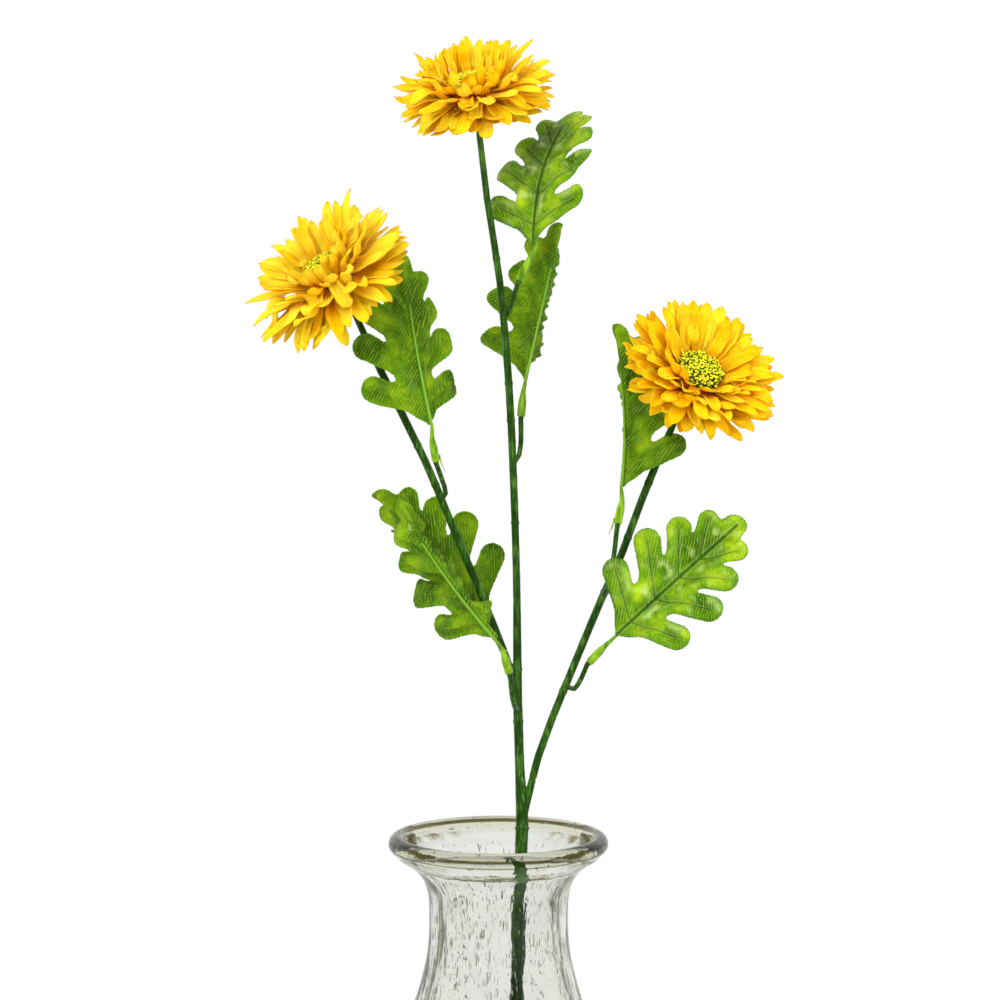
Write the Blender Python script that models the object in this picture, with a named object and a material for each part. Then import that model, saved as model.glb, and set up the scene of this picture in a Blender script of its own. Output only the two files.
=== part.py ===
"""A spray of three cloth gerberas standing in a seeded glass vase.

Frame: +Z up, the vase's axis on Z, the origin at the centre of the vase's foot,
the front of the arrangement towards -Y. Lengths are in metres; MM turns the
millimetres written below into metres.
"""

import math
from typing import NamedTuple

import bmesh
import bpy
from mathutils import Matrix, Vector

MM = 0.001
FIT = 0.35  # clearance between two pieces that touch, in mm

# Vase, in mm
VASE_SEGMENTS = 36
VASE_WALL = 3.4
VASE_FLOOR = 7.0
FOOT_RADIUS = 46.0
FOOT_ROUND = 5.0
BELLY_RADIUS = 62.0
BELLY_HEIGHT = 70.0
NECK_RADIUS = 35.2
NECK_ABOVE_BELLY = 115.0
LIP_RADIUS = 51.0
LIP_ABOVE_NECK = 33.5
FLARE_POWER = 4
BEAD_RADIUS = 4.5
BEAD_ABOVE_LIP = 6.5
NECK_Z = BELLY_HEIGHT + NECK_ABOVE_BELLY
LIP_Z = NECK_Z + LIP_ABOVE_NECK

# Stems, in mm
STEM_SIDES = 8
ROOT_RADIUS = 3.3
TRUNK_RADIUS = 2.5
TOP_RADIUS = 1.6
BRANCH_RADIUS = 2.0
BRANCH_WALL = 0.5
PEG_RADIUS = BRANCH_RADIUS - BRANCH_WALL - FIT
PEG_LENGTH = 7.0
KNUCKLE_SWELL = 1.18
KNUCKLE_HALF = 1.1
SPUR_RADIUS = 1.35
SPUR_PEG_RADIUS = 0.95
SPUR_PEG_LENGTH = 5.0
SHOULDER = 0.5
STEP_IN = 0.05  # the run over which a bar narrows to its peg
ROOT_XY = (5.5, -8.0)
LEAN_ABOVE_NECK = 14.0
LEAN_AZIMUTH = 67.0  # degrees from +X to where the main stem rests in the neck

# Leaves, in mm; every leaf is cut with the same die
LEAF_LENGTH = 92.0
LEAF_HALF_WIDTH = 30.5
LEAF_THICKNESS = 0.5
RIB_SIDES = 6
RIB_RADIUS = 0.9
RIB_END_RADIUS = 0.45
RIB_GAP = 0.8
SOCKET_LENGTH = 17.0
SOCKET_WALL = 0.85
SOCKET_RADIUS = SPUR_PEG_RADIUS + FIT + SOCKET_WALL
SOCKET_BORE_DEPTH = SPUR_PEG_LENGTH + 1.0

# The leaf's outline as shares of its length and half width, from the root to the tip
SPINE = (0.033, 0.11, 0.30, 0.50, 0.67, 0.84, 1.0)
WEB = ((0.10, 0.26), (0.33, 0.41), (0.505, 0.39), (0.67, 0.30), (0.84, 0.20))
LOBE_TIPS = ((0.29, 1.0), (0.545, 1.0), (0.72, 0.75), (0.875, 0.49))
LOBE_WIDTHS = (0.39, 0.41, 0.36, 0.30)  # shares of the half width
LOBE_SHOULDER = 0.55
LOBE_END = 0.66
TIP_SHOULDER = (0.96, 0.18)
RIB_SHARE = 0.7

# Flower heads, in mm
CALYX_SEGMENTS = 14
CALYX_WALL = 1.05
CALYX_CUP_RADIUS = 8.5
CALYX_HEIGHT = 11.4
CALYX_BORE_DEPTH = 7.0
STEM_IN_CALYX = 6.0
SPIKE_RADIUS = 1.6
SPIKE_IN_DISC = 3.5
CLOTH = 0.4
LAYER_PITCH = 1.6
DISC_RADIUS = 12.5
DISC_HEIGHT = 6.5
DISC_SEGMENTS = 16


class Layer(NamedTuple):
    """One die-cut layer of petals."""

    petals: int
    hub_radius: float
    tip_radius: float  # before the petals are bent
    width: float
    turn: float  # share of a petal's pitch


LAYERS = (
    Layer(16, 12.0, 38.5, 9.6, 0.0),
    Layer(16, 13.6, 42.5, 9.6, 0.5),
    Layer(14, 13.6, 43.5, 9.4, 0.2),
    Layer(14, 13.4, 43.5, 8.8, 0.6),
    Layer(12, 13.2, 35.0, 7.6, 0.1),
)


class Head(NamedTuple):
    """A flower head: where its disc sits, the way its face looks, and each layer's rise.

    The disc is placed from the point where the main stem rests in the vase's neck.
    """

    disc: tuple
    facing: tuple  # degrees to the side and back, from straight up
    rises: tuple  # degrees, from the lowest layer up


HEADS = {
    "centre": Head((-23.4, 2.0, 408.4), (-6, -21), (-18, -6, 8, 22, 38)),
    "left": Head((-97.4, -19.6, 313.3), (-34, -29), (-21, -7, 10, 30, 48)),
    "right": Head((89.1, -21.5, 262.9), (23, -41), (3, 12, 24, 38, 54)),
}


class Leaf(NamedTuple):
    """The pose of a leaf, placed from the point where the main stem rests in the neck.

    Angles are in degrees; a pair is to the side and back, from straight up.
    """

    mouth: tuple  # where the spur enters the leaf's socket
    socket: tuple  # the way the socket points
    midrib: tuple  # the way the midrib starts
    turn: float  # of the upper face round the midrib, from facing the front
    bend: float  # of the midrib towards the upper face, root to tip
    fold_left: float  # of each half towards the upper face
    fold_right: float


LEAVES = {
    "left_upper": Leaf((-42.7, -13.0, 218.2), (-9, -21), (-13, 12), -144, -12, 19, 27),
    "left_lower": Leaf((-8.2, 22.0, 117.5), (-26, 7), (-41, 4), 172, -10, 19, 66),
    "main": Leaf((-5.6, -10.5, 110.0), (-15, -12), (-42, 2), 145, 20, 122, 8),
    "centre_upper": Leaf((-0.4, 5.5, 309.6), (25, -4), (-2, 4), -37, -60, 0, 4),
    "centre_lower": Leaf((0.6, 19.5, 239.8), (5, 3), (13, 17), -168, 0, 74, 41),
    "right_upper": Leaf((49.5, -8.0, 186.0), (11, 10), (8, 26), 125, -25, 49, 45),
    "right_lower": Leaf((35.1, -11.5, 115.7), (42, -14), (47, 0), -15, -8, 14, 18),
}


def direction(lean):
    """The unit vector that leans from straight up by degrees to the side and back."""
    side, back = (math.radians(angle) for angle in lean)
    return Vector(
        (math.sin(side) * math.cos(back), math.sin(back), math.cos(side) * math.cos(back))
    )


def clear_scene():
    """Removes whatever the file starts with."""
    for obj in list(bpy.data.objects):
        bpy.data.objects.remove(obj, do_unlink=True)


def make_material(name, color, roughness, alpha=1.0):
    """A plain Principled material."""
    material = bpy.data.materials.new(name)
    material.use_nodes = True
    shader = material.node_tree.nodes["Principled BSDF"]
    shader.inputs["Base Color"].default_value = (*color, 1.0)
    shader.inputs["Roughness"].default_value = roughness
    shader.inputs["Metallic"].default_value = 0.0
    shader.inputs["Alpha"].default_value = alpha
    return material


def make_finishes():
    """The object's finishes by name."""
    return {
        "glass": make_material("glass", (0.86, 0.89, 0.84), 0.05, 0.35),
        "stem": make_material("stem", (0.05, 0.22, 0.06), 0.45),
        "leaf": make_material("leaf", (0.16, 0.42, 0.05), 0.6),
        "rib": make_material("rib", (0.42, 0.65, 0.08), 0.4),
        "petal": make_material("petal", (1.0, 0.62, 0.03), 0.65),
        "disc": make_material("disc", (0.55, 0.58, 0.08), 0.8),
        "calyx": make_material("calyx", (0.04, 0.16, 0.05), 0.5),
    }


def link(name, mesh, material):
    """Puts a mesh in the scene as a node with its material."""
    mesh.materials.append(material)
    obj = bpy.data.objects.new(name, mesh)
    bpy.context.scene.collection.objects.link(obj)
    return obj


def shade_round(mesh, sharp_degrees=35.0):
    """Smooth shading that keeps real corners."""
    mesh.shade_smooth()
    mesh.set_sharp_from_angle(angle=math.radians(sharp_degrees))


def lathe(name, profile, segments, material):
    """Turns a profile of (radius, height) in mm, both ends on the axis, round Z."""
    frame = bmesh.new()
    verts = [frame.verts.new((radius * MM, 0.0, height * MM)) for radius, height in profile]
    edges = [frame.edges.new(pair) for pair in zip(verts, verts[1:])]
    bmesh.ops.spin(
        frame,
        geom=verts + edges,
        axis=(0, 0, 1),
        cent=(0, 0, 0),
        steps=segments,
        angle=2 * math.pi,
        use_merge=True,
    )
    bmesh.ops.remove_doubles(frame, verts=frame.verts, dist=0.01 * MM)
    bmesh.ops.recalc_face_normals(frame, faces=frame.faces)
    mesh = bpy.data.meshes.new(name)
    frame.to_mesh(mesh)
    frame.free()
    shade_round(mesh)
    return link(name, mesh, material)


def smooth_route(points, step):
    """Samples a Catmull-Rom curve through (x, y, z, radius) points about every step mm."""
    padded = [points[0], *points, points[-1]]
    samples = []
    for before, start, end, after in zip(padded, padded[1:], padded[2:], padded[3:]):
        p0, p1, p2, p3 = (Vector(p) for p in (before, start, end, after))
        count = max(1, round((p2 - p1).length / step))
        for i in range(count):
            t = i / count
            samples.append(
                0.5
                * (
                    2 * p1
                    + (p2 - p0) * t
                    + (2 * p0 - 5 * p1 + 4 * p2 - p3) * t**2
                    + (3 * p1 - p0 - 3 * p2 + p3) * t**3
                )
            )
    samples.append(Vector(points[-1]))
    return samples


def add_knuckles(samples, heights):
    """Adds a moulded ring to a rising route at each height in mm from the rest point."""
    route = list(samples)
    for rise in heights:
        height = neck_rest().z + rise
        above = next(i for i, p in enumerate(route) if p[2] > height)
        low, high = route[above - 1], route[above]
        middle = low.lerp(high, (height - low[2]) / (high[2] - low[2]))
        along = (high - low) / (Vector(high[:3]) - Vector(low[:3])).length
        ring = [middle - along * KNUCKLE_HALF, middle.copy(), middle + along * KNUCKLE_HALF]
        ring[1][3] *= KNUCKLE_SWELL
        route = [p for p in route if abs(p[2] - height) > 2 * KNUCKLE_HALF] + ring
        route.sort(key=lambda p: p[2])
    return route


def tube(name, route, sides, material):
    """A round bar along (x, y, z, radius) points in mm, as a mesh with closed ends."""
    curve = bpy.data.curves.new(name, "CURVE")
    curve.dimensions = "3D"
    curve.bevel_depth = 1.0 * MM
    curve.bevel_resolution = max(0, sides // 2 - 2)
    curve.use_fill_caps = True
    spline = curve.splines.new("POLY")
    spline.points.add(len(route) - 1)
    for point, (x, y, z, radius) in zip(spline.points, route):
        point.co = (x * MM, y * MM, z * MM, 1.0)
        point.radius = radius
    holder = bpy.data.objects.new(name, curve)
    bpy.context.scene.collection.objects.link(holder)
    bpy.context.view_layer.update()
    graph = bpy.context.evaluated_depsgraph_get()
    mesh = bpy.data.meshes.new_from_object(holder.evaluated_get(graph))
    bpy.data.objects.remove(holder)
    bpy.data.curves.remove(curve)
    frame = bmesh.new()
    frame.from_mesh(mesh)
    bmesh.ops.remove_doubles(frame, verts=frame.verts, dist=0.005 * MM)
    bmesh.ops.recalc_face_normals(frame, faces=frame.faces)
    frame.to_mesh(mesh)
    frame.free()
    mesh.materials.clear()
    shade_round(mesh)
    return link(name, mesh, material)


def hide_helper(obj):
    """Marks an object as a cutter or a piece that was joined into another."""
    obj.hide_render = True
    obj.display_type = "WIRE"


def combine(body, other, operation):
    """A Boolean of the body with a helper object."""
    hide_helper(other)
    modifier = body.modifiers.new(other.name, "BOOLEAN")
    modifier.operation = operation
    modifier.solver = "EXACT"
    modifier.object = other


def bore(body, mouth, way, radius, depth, material):
    """Drills a blind round hole of a depth in mm from the mouth along a unit vector."""
    drill_run = (*(mouth - way * 2.0), radius), (*(mouth + way * depth), radius)
    combine(body, tube(body.name + "_drill", drill_run, STEM_SIDES, material), "DIFFERENCE")


# ---------------------------------------------------------------- the vase


def flare(height):
    """The outer radius of the flaring neck at a height."""
    share = (height - NECK_Z) / LIP_ABOVE_NECK
    return NECK_RADIUS + (LIP_RADIUS - NECK_RADIUS) * share**FLARE_POWER


def outer_wall():
    """The outside of the vase from the foot to the lip, as (radius, height)."""
    points = []
    for i in range(4):  # the rounded edge of the foot
        angle = math.radians(-90 + 30 * i)
        points.append(
            (
                FOOT_RADIUS - FOOT_ROUND + FOOT_ROUND * math.cos(angle),
                FOOT_ROUND + FOOT_ROUND * math.sin(angle),
            )
        )
    for i in range(1, 5):  # the foot swelling to the belly
        share = i / 5
        swell = math.sin(math.pi / 2 * share)
        points.append(
            (
                FOOT_RADIUS + (BELLY_RADIUS - FOOT_RADIUS) * swell,
                FOOT_ROUND + (BELLY_HEIGHT - FOOT_ROUND) * share,
            )
        )
    for i in range(8):  # the belly closing to the neck
        share = i / 7
        height = BELLY_HEIGHT + NECK_ABOVE_BELLY * share
        swell = 0.5 + 0.5 * math.cos(math.pi * share)
        points.append((NECK_RADIUS + (BELLY_RADIUS - NECK_RADIUS) * swell, height))
    for i in range(1, 6):  # the neck opening to the lip
        share = i / 5
        height = NECK_Z + LIP_ABOVE_NECK * share
        points.append((flare(height), height))
    return points


def inner_wall(outside):
    """The inside of the vase from the lip down, one wall inside the outside."""
    points = []
    for before, here, after in zip(outside, outside[1:], outside[2:]):
        tangent = Vector((after[0] - before[0], after[1] - before[1])).normalized()
        inside = (here[0] - tangent.y * VASE_WALL, here[1] + tangent.x * VASE_WALL)
        if inside[1] > VASE_FLOOR + FOOT_ROUND:
            points.append(inside)
    return list(reversed(points))


def rim_bead():
    """The rolled bead of the rim, from the lip's outside round to its inside."""
    centre = (LIP_RADIUS, LIP_Z + BEAD_ABOVE_LIP)
    return [
        (
            centre[0] + BEAD_RADIUS * math.cos(math.radians(angle)),
            centre[1] + BEAD_RADIUS * math.sin(math.radians(angle)),
        )
        for angle in range(-60, 181, 40)
    ]


def make_vase(finish):
    """The blown glass vase."""
    outside = outer_wall()
    inside = inner_wall(outside)
    floor_edge = inside[-1][0] - 1.0
    profile = [(0.0, 0.0), *outside, *rim_bead(), *inside]
    profile += [(floor_edge - 1.5, VASE_FLOOR + 1.5), (floor_edge - 5.0, VASE_FLOOR), (0.0, VASE_FLOOR)]
    return lathe("vase", profile, VASE_SEGMENTS, finish)


# ---------------------------------------------------------------- the stems


def layer_height(index):
    """The height of a layer's hub above the calyx's mouth."""
    return CALYX_HEIGHT + FIT + CLOTH + LAYER_PITCH * index


def disc_height():
    """The height of the disc's underside above the calyx's mouth."""
    return layer_height(len(LAYERS) - 1) + CLOTH + FIT


def neck_rest():
    """The point of the main stem's middle where it rests in the vase's neck."""
    height = NECK_Z + LEAN_ABOVE_NECK
    radius = flare(height) - VASE_WALL - ROOT_RADIUS - 2 * FIT
    angle = math.radians(LEAN_AZIMUTH)
    return Vector((radius * math.cos(angle), radius * math.sin(angle), height))


def from_rest(point):
    """A point of the spray, which is measured from where the main stem rests in the neck."""
    return neck_rest() + Vector(point)


def calyx_mouth(head):
    """Where a stem enters a flower head, and the head's axis."""
    axis = direction(head.facing)
    return from_rest(head.disc) - axis * disc_height(), axis


def into_calyx(head):
    """The last points of a stem, straight into the calyx."""
    mouth, axis = calyx_mouth(head)
    return [(*(mouth + axis * distance), TOP_RADIUS) for distance in (-7.0, -1.0, STEM_IN_CALYX)]


def trunk_points():
    """The main stem from its cut end on the vase's floor to the centre flower."""
    rest = neck_rest()
    lean = (rest - Vector((*ROOT_XY, VASE_FLOOR))).normalized()
    edge_drop = ROOT_RADIUS * math.hypot(lean.x, lean.y)
    root = Vector((*ROOT_XY, VASE_FLOOR + FIT + edge_drop))
    return [
        (*root, ROOT_RADIUS),
        (*((root + rest) / 2), ROOT_RADIUS),
        (*rest, ROOT_RADIUS),
        *((*from_rest(point), radius) for point, radius in TRUNK_ROUTE),
        *into_calyx(HEADS["centre"]),
    ]


# Points and heights from here on are in mm from where the main stem rests in the neck.
TRUNK_ROUTE = (
    ((1.2, 5.8, 31.0), ROOT_RADIUS),
    ((-0.1, 10.6, 59.0), TRUNK_RADIUS),
    ((-1.2, 14.0, 93.0), TRUNK_RADIUS),
    ((-1.5, 15.0, 145.0), BRANCH_RADIUS),
    ((-3.3, 15.0, 207.0), BRANCH_RADIUS),
    ((-5.9, 14.0, 259.0), BRANCH_RADIUS),
    ((-10.5, 13.0, 310.0), 1.85),
    ((-16.9, 12.0, 351.0), 1.75),
)
TRUNK_KNUCKLES = (-49.0, 27.5, 82.0, 109.0, 185.0, 238.0, 257.0, 321.0)


class Branch(NamedTuple):
    """A side stem: the stub that carries it, its joint on the stub's peg, and its route."""

    stub: tuple  # points on and off the main stem
    joint: tuple
    joint_way: tuple  # degrees to the side and back, from straight up
    route: tuple
    knuckles: tuple
    spurs: tuple


BRANCHES = {
    "right": Branch(
        stub=((1.4, 6.0, 31.0), (3.6, 6.8, 41.0)),
        joint=(6.5, 7.0, 53.0),
        joint_way=(14, 0),
        route=(
            (9.6, 6.8, 65.0),
            (16.3, 5.0, 84.0),
            (28.8, 4.0, 115.0),
            (41.5, 3.0, 146.0),
            (52.4, 6.0, 170.0),
            (62.8, 10.0, 197.5),
            (73.4, 14.0, 223.0),
        ),
        knuckles=(99.0, 150.0, 178.0, 206.0),
        spurs=("right_upper", "right_lower"),
    ),
    "left": Branch(
        stub=((-1.2, 14.0, 91.0), (-4.0, 15.0, 104.5)),
        joint=(-8.2, 15.0, 118.0),
        joint_way=(-21, -4),
        route=(
            (-12.6, 14.0, 129.5),
            (-18.8, 13.0, 145.0),
            (-36.1, 10.0, 186.7),
            (-49.0, 8.0, 217.8),
            (-71.4, 3.0, 264.0),
        ),
        knuckles=(167.0, 205.0, 225.0, 271.0),
        spurs=("left_upper",),
    ),
}
TRUNK_SPURS = ("main", "left_lower", "centre_upper", "centre_lower")
SPUR_ROUTES = {
    "left_upper": ((-41.0, 8.9, 198.0), (-38.0, 0.5, 201.0), (-39.8, -7.0, 208.5)),
    "left_lower": ((-2.6, 15.5, 97.5), (-4.4, 19.6, 101.0), (-6.2, 21.0, 109.0)),
    "main": ((-1.2, 13.6, 89.0), (-2.4, 4.0, 90.0), (-4.0, -5.5, 97.0)),
    "centre_upper": ((-9.1, 13.2, 289.0), (-6.4, 10.0, 293.0), (-3.6, 7.0, 300.5)),
    "centre_lower": ((-3.6, 15.0, 215.0), (-0.4, 17.4, 220.0), (0.6, 19.0, 229.0)),
    "right_upper": ((42.8, 3.2, 149.0), (44.4, -4.0, 153.5), (47.0, -8.6, 166.0)),
    "right_lower": ((23.6, 4.4, 102.0), (27.6, -3.6, 101.0), (31.2, -9.0, 107.5)),
}


def make_spur(place, finish):
    """The curved spur that carries a leaf, with a thin peg for the leaf's socket."""
    leaf = LEAVES[place]
    mouth, way = from_rest(leaf.mouth), direction(leaf.socket)
    points = [*(from_rest(point) for point in SPUR_ROUTES[place]), mouth - way * 2.0]
    route = smooth_route([(*point, SPUR_RADIUS) for point in points], 5.0)
    collar = SPUR_RADIUS * KNUCKLE_SWELL
    shoulder = mouth - way * FIT
    route.append((*(shoulder - way * SHOULDER), collar))
    route.append((*shoulder, collar))
    route.append((*(shoulder + way * STEP_IN), SPUR_PEG_RADIUS))
    route.append((*(mouth + way * SPUR_PEG_LENGTH), SPUR_PEG_RADIUS))
    return tube("spur_" + place, route, RIB_SIDES, finish)


def make_fork(side, branch, finish):
    """A stub that leaves the main stem and ends in a peg for a side stem."""
    end, way = from_rest(branch.joint), direction(branch.joint_way)
    points = [*(from_rest(point) for point in branch.stub), end - way * 3.0, end]
    route = smooth_route([(*point, BRANCH_RADIUS) for point in points], 6.0)
    route.append((*(end + way * STEP_IN), PEG_RADIUS))
    route.append((*(end + way * PEG_LENGTH), PEG_RADIUS))
    return tube("fork_" + side, route, STEM_SIDES, finish)


def make_trunk(finish):
    """The main stem with its forks and spurs, moulded in one."""
    route = add_knuckles(smooth_route(trunk_points(), 24.0), TRUNK_KNUCKLES)
    trunk = tube("stem_main", route, STEM_SIDES, finish)
    for side, branch in BRANCHES.items():
        combine(trunk, make_fork(side, branch, finish), "UNION")
    for place in TRUNK_SPURS:
        combine(trunk, make_spur(place, finish), "UNION")


def make_branch(side, branch, finish):
    """A side stem, pushed on its fork's peg, with the spurs of its leaves."""
    way = direction(branch.joint_way)
    start = from_rest(branch.joint) + way * FIT
    bends = [from_rest(point) for point in branch.route]
    points = [start, start + way * PEG_LENGTH, *bends]
    route = [(*point, BRANCH_RADIUS) for point in points] + into_calyx(HEADS[side])
    stem = tube(
        "stem_" + side, add_knuckles(smooth_route(route, 22.0), branch.knuckles), STEM_SIDES, finish
    )
    bore(stem, start, way, PEG_RADIUS + FIT, PEG_LENGTH + FIT, finish)
    for place in branch.spurs:
        combine(stem, make_spur(place, finish), "UNION")


# ---------------------------------------------------------------- the leaves


class LeafFrame:
    """Turns (along, across) in mm on a flat leaf into the posed leaf."""

    def __init__(self, leaf):
        self.mouth = from_rest(leaf.mouth)
        self.socket = direction(leaf.socket)
        self.start = self.mouth + self.socket * SOCKET_LENGTH
        self.along = direction(leaf.midrib)
        front = Vector((0, -1, 0))
        front = (front - self.along * front.dot(self.along)).normalized()
        turn = math.radians(leaf.turn)
        self.up = front * math.cos(turn) + self.along.cross(front) * math.sin(turn)
        self.side = self.along.cross(self.up)
        self.bend = math.radians(leaf.bend)
        self.folds = {-1: math.radians(leaf.fold_left), 1: math.radians(leaf.fold_right)}

    def midrib(self, along):
        """The midrib's point and the upper direction there."""
        rate = self.bend / LEAF_LENGTH
        if rate == 0:
            return self.start + self.along * along, self.up
        angle = rate * along
        forward = math.sin(angle) / rate
        upward = (1 - math.cos(angle)) / rate
        up = self.up * math.cos(angle) - self.along * math.sin(angle)
        return self.start + self.along * forward + self.up * upward, up

    def place(self, along, across):
        """A point of the posed leaf."""
        point, up = self.midrib(along)
        half = 1 if across > 0 else -1
        fold = self.folds[half]
        return point + (self.side * (half * math.cos(fold)) + up * math.sin(fold)) * abs(across)


def lobe_outline(low, high, tip, width):
    """The four outer corners of a lobe that grows from the web's edge low-high."""
    root = (low + high) / 2
    way = (tip - root).normalized()
    across = Vector((way.y, -way.x)) * width / 2
    middle = root.lerp(tip, LOBE_SHOULDER)
    return middle - across, middle + across, tip + across * LOBE_END, tip - across * LOBE_END


def flat_half_leaf():
    """Points and faces of half a flat leaf, in mm, the half with across above zero."""

    def sized(share):
        return Vector((share[0] * LEAF_LENGTH, share[1] * LEAF_HALF_WIDTH))

    spine = [sized((share, 0.0)) for share in SPINE]
    web = [sized(share) for share in WEB]
    points = [*spine, *web, sized(TIP_SHOULDER)]
    first_web = len(spine)
    shoulder = first_web + len(web)
    faces = [(0, first_web, 1)]
    for i, (share, width) in enumerate(zip(LOBE_TIPS, LOBE_WIDTHS)):
        low, high = first_web + i, first_web + i + 1
        near = len(points)
        points += lobe_outline(web[i], web[i + 1], sized(share), width * LEAF_HALF_WIDTH)
        faces.append((i + 1, low, high, i + 2))
        faces.append((low, near, near + 1, high))
        faces.append((near, near + 3, near + 2, near + 1))
    faces.append((len(spine) - 2, shoulder - 1, shoulder, len(spine) - 1))
    return points, faces


def thicken(obj, thickness):
    """Gives a sheet its thickness in mm, half to each side."""
    solid = obj.modifiers.new("cloth", "SOLIDIFY")
    solid.thickness = thickness * MM
    solid.offset = 0.0


def make_blade(place, leaf, finish):
    """The cloth blade of one leaf."""
    frame = LeafFrame(leaf)
    half, faces = flat_half_leaf()
    sheet = bmesh.new()
    for sign in (1, -1):
        verts = [sheet.verts.new(frame.place(point.x, point.y * sign) * MM) for point in half]
        for face in faces:
            sheet.faces.new([verts[i] for i in face])
    bmesh.ops.remove_doubles(sheet, verts=sheet.verts, dist=0.01 * MM)
    bmesh.ops.recalc_face_normals(sheet, faces=sheet.faces)
    mesh = bpy.data.meshes.new("leaf_" + place)
    sheet.to_mesh(mesh)
    sheet.free()
    thicken(link("leaf_" + place, mesh, finish), LEAF_THICKNESS)


def make_rib(place, leaf, finish):
    """The moulded rib under a blade, with the socket that its spur enters."""
    frame = LeafFrame(leaf)
    route = [
        (*frame.mouth, SOCKET_RADIUS),
        (*(frame.mouth + frame.socket * SOCKET_LENGTH * 0.45), SOCKET_RADIUS),
        (*(frame.mouth + frame.socket * SOCKET_LENGTH * 0.72), RIB_RADIUS * 1.5),
    ]
    steps = 5
    for i in range(steps + 1):
        share = i / steps
        radius = RIB_RADIUS + (RIB_END_RADIUS - RIB_RADIUS) * share
        point, up = frame.midrib(1.0 + (LEAF_LENGTH * RIB_SHARE - 1.0) * share)
        route.append((*(point - up * (radius + LEAF_THICKNESS / 2 + RIB_GAP)), radius))
    rib = tube("rib_" + place, route, RIB_SIDES, finish)
    bore(rib, frame.mouth, frame.socket, SPUR_PEG_RADIUS + FIT, SOCKET_BORE_DEPTH, finish)


# ---------------------------------------------------------------- the flower heads


def make_calyx(side, finish):
    """The green cup under the petals, with the spike that holds them."""
    bore_radius = TOP_RADIUS + FIT
    foot_radius = bore_radius + CALYX_WALL
    spike_top = disc_height() + SPIKE_IN_DISC
    profile = [
        (0.0, CALYX_BORE_DEPTH),
        (bore_radius, CALYX_BORE_DEPTH),
        (bore_radius, 0.0),
        (foot_radius, 0.0),
        (foot_radius + 0.4, CALYX_HEIGHT * 0.4),
        (CALYX_CUP_RADIUS * 0.7, CALYX_HEIGHT * 0.7),
        (CALYX_CUP_RADIUS, CALYX_HEIGHT),
        (SPIKE_RADIUS, CALYX_HEIGHT),
        (SPIKE_RADIUS, spike_top - 0.5),
        (SPIKE_RADIUS * 0.6, spike_top),
        (0.0, spike_top),
    ]
    return lathe("calyx_" + side, profile, CALYX_SEGMENTS, finish)


def make_petals(side, index, finish):
    """One layer of petals: a hub with a hole for the spike, and petals all round."""
    layer = LAYERS[index]
    height = layer_height(index)
    hole = SPIKE_RADIUS + FIT + 0.2
    rise = math.radians(HEADS[side].rises[index])
    pitch = 2 * math.pi / layer.petals
    length = layer.tip_radius - layer.hub_radius

    def point(angle, along, across):
        radius = layer.hub_radius + along * math.cos(rise)
        up = height + along * math.sin(rise)
        return Vector(
            (
                radius * math.cos(angle) - across * math.sin(angle),
                radius * math.sin(angle) + across * math.cos(angle),
                up,
            )
        )

    sheet = bmesh.new()
    root = layer.hub_radius * math.sin(pitch / 2) * 0.9
    rows = []
    for i in range(layer.petals):
        angle = pitch * (i + layer.turn)
        corners = [
            Vector((hole * math.cos(angle), hole * math.sin(angle), height)),
            point(angle, 0.0, -root),
            point(angle, 0.0, root),
            point(angle, length * 0.62, -layer.width / 2),
            point(angle, length * 0.62, layer.width / 2),
            point(angle, length, 0.0),
        ]
        rows.append([sheet.verts.new(corner * MM) for corner in corners])
    for row, after in zip(rows, rows[1:] + rows[:1]):
        inner, low, high, wide_low, wide_high, tip = row
        sheet.faces.new((inner, low, high))
        sheet.faces.new((inner, high, after[1], after[0]))
        sheet.faces.new((low, wide_low, wide_high, high))
        sheet.faces.new((wide_low, tip, wide_high))
    bmesh.ops.recalc_face_normals(sheet, faces=sheet.faces)
    name = f"petals_{side}_{index + 1}"
    mesh = bpy.data.meshes.new(name)
    sheet.to_mesh(mesh)
    sheet.free()
    obj = link(name, mesh, finish)
    thicken(obj, CLOTH)
    return obj


def make_disc(side, finish):
    """The domed eye of the flower, with a blind hole for the spike."""
    base = disc_height()
    hole = SPIKE_RADIUS + FIT
    hole_top = base + SPIKE_IN_DISC + FIT
    profile = [(0.0, hole_top), (hole, hole_top), (hole, base), (DISC_RADIUS - 1.0, base)]
    profile += [
        (
            DISC_RADIUS * math.cos(math.radians(angle)),
            base + 1.0 + (DISC_HEIGHT - 1.0) * math.sin(math.radians(angle)),
        )
        for angle in range(0, 76, 25)
    ]
    profile.append((0.0, base + DISC_HEIGHT))
    return lathe("disc_" + side, profile, DISC_SEGMENTS, finish)


def make_head(side, head, finishes):
    """A whole flower head, stood on an empty at the calyx's mouth."""
    mouth, axis = calyx_mouth(head)
    stand = bpy.data.objects.new("head_" + side, None)
    bpy.context.scene.collection.objects.link(stand)
    turned = axis.to_track_quat("Z", "Y").to_matrix().to_4x4()
    stand.matrix_world = Matrix.Translation(mouth * MM) @ turned
    pieces = [make_calyx(side, finishes["calyx"]), make_disc(side, finishes["disc"])]
    pieces += [make_petals(side, i, finishes["petal"]) for i in range(len(LAYERS))]
    for piece in pieces:
        piece.parent = stand


def main():
    """Builds the whole arrangement."""
    clear_scene()
    finishes = make_finishes()
    make_vase(finishes["glass"])
    make_trunk(finishes["stem"])
    for side, branch in BRANCHES.items():
        make_branch(side, branch, finishes["stem"])
    for place, leaf in LEAVES.items():
        make_blade(place, leaf, finishes["leaf"])
        make_rib(place, leaf, finishes["rib"])
    for side, head in HEADS.items():
        make_head(side, head, finishes)
    bpy.context.view_layer.update()


main()
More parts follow.
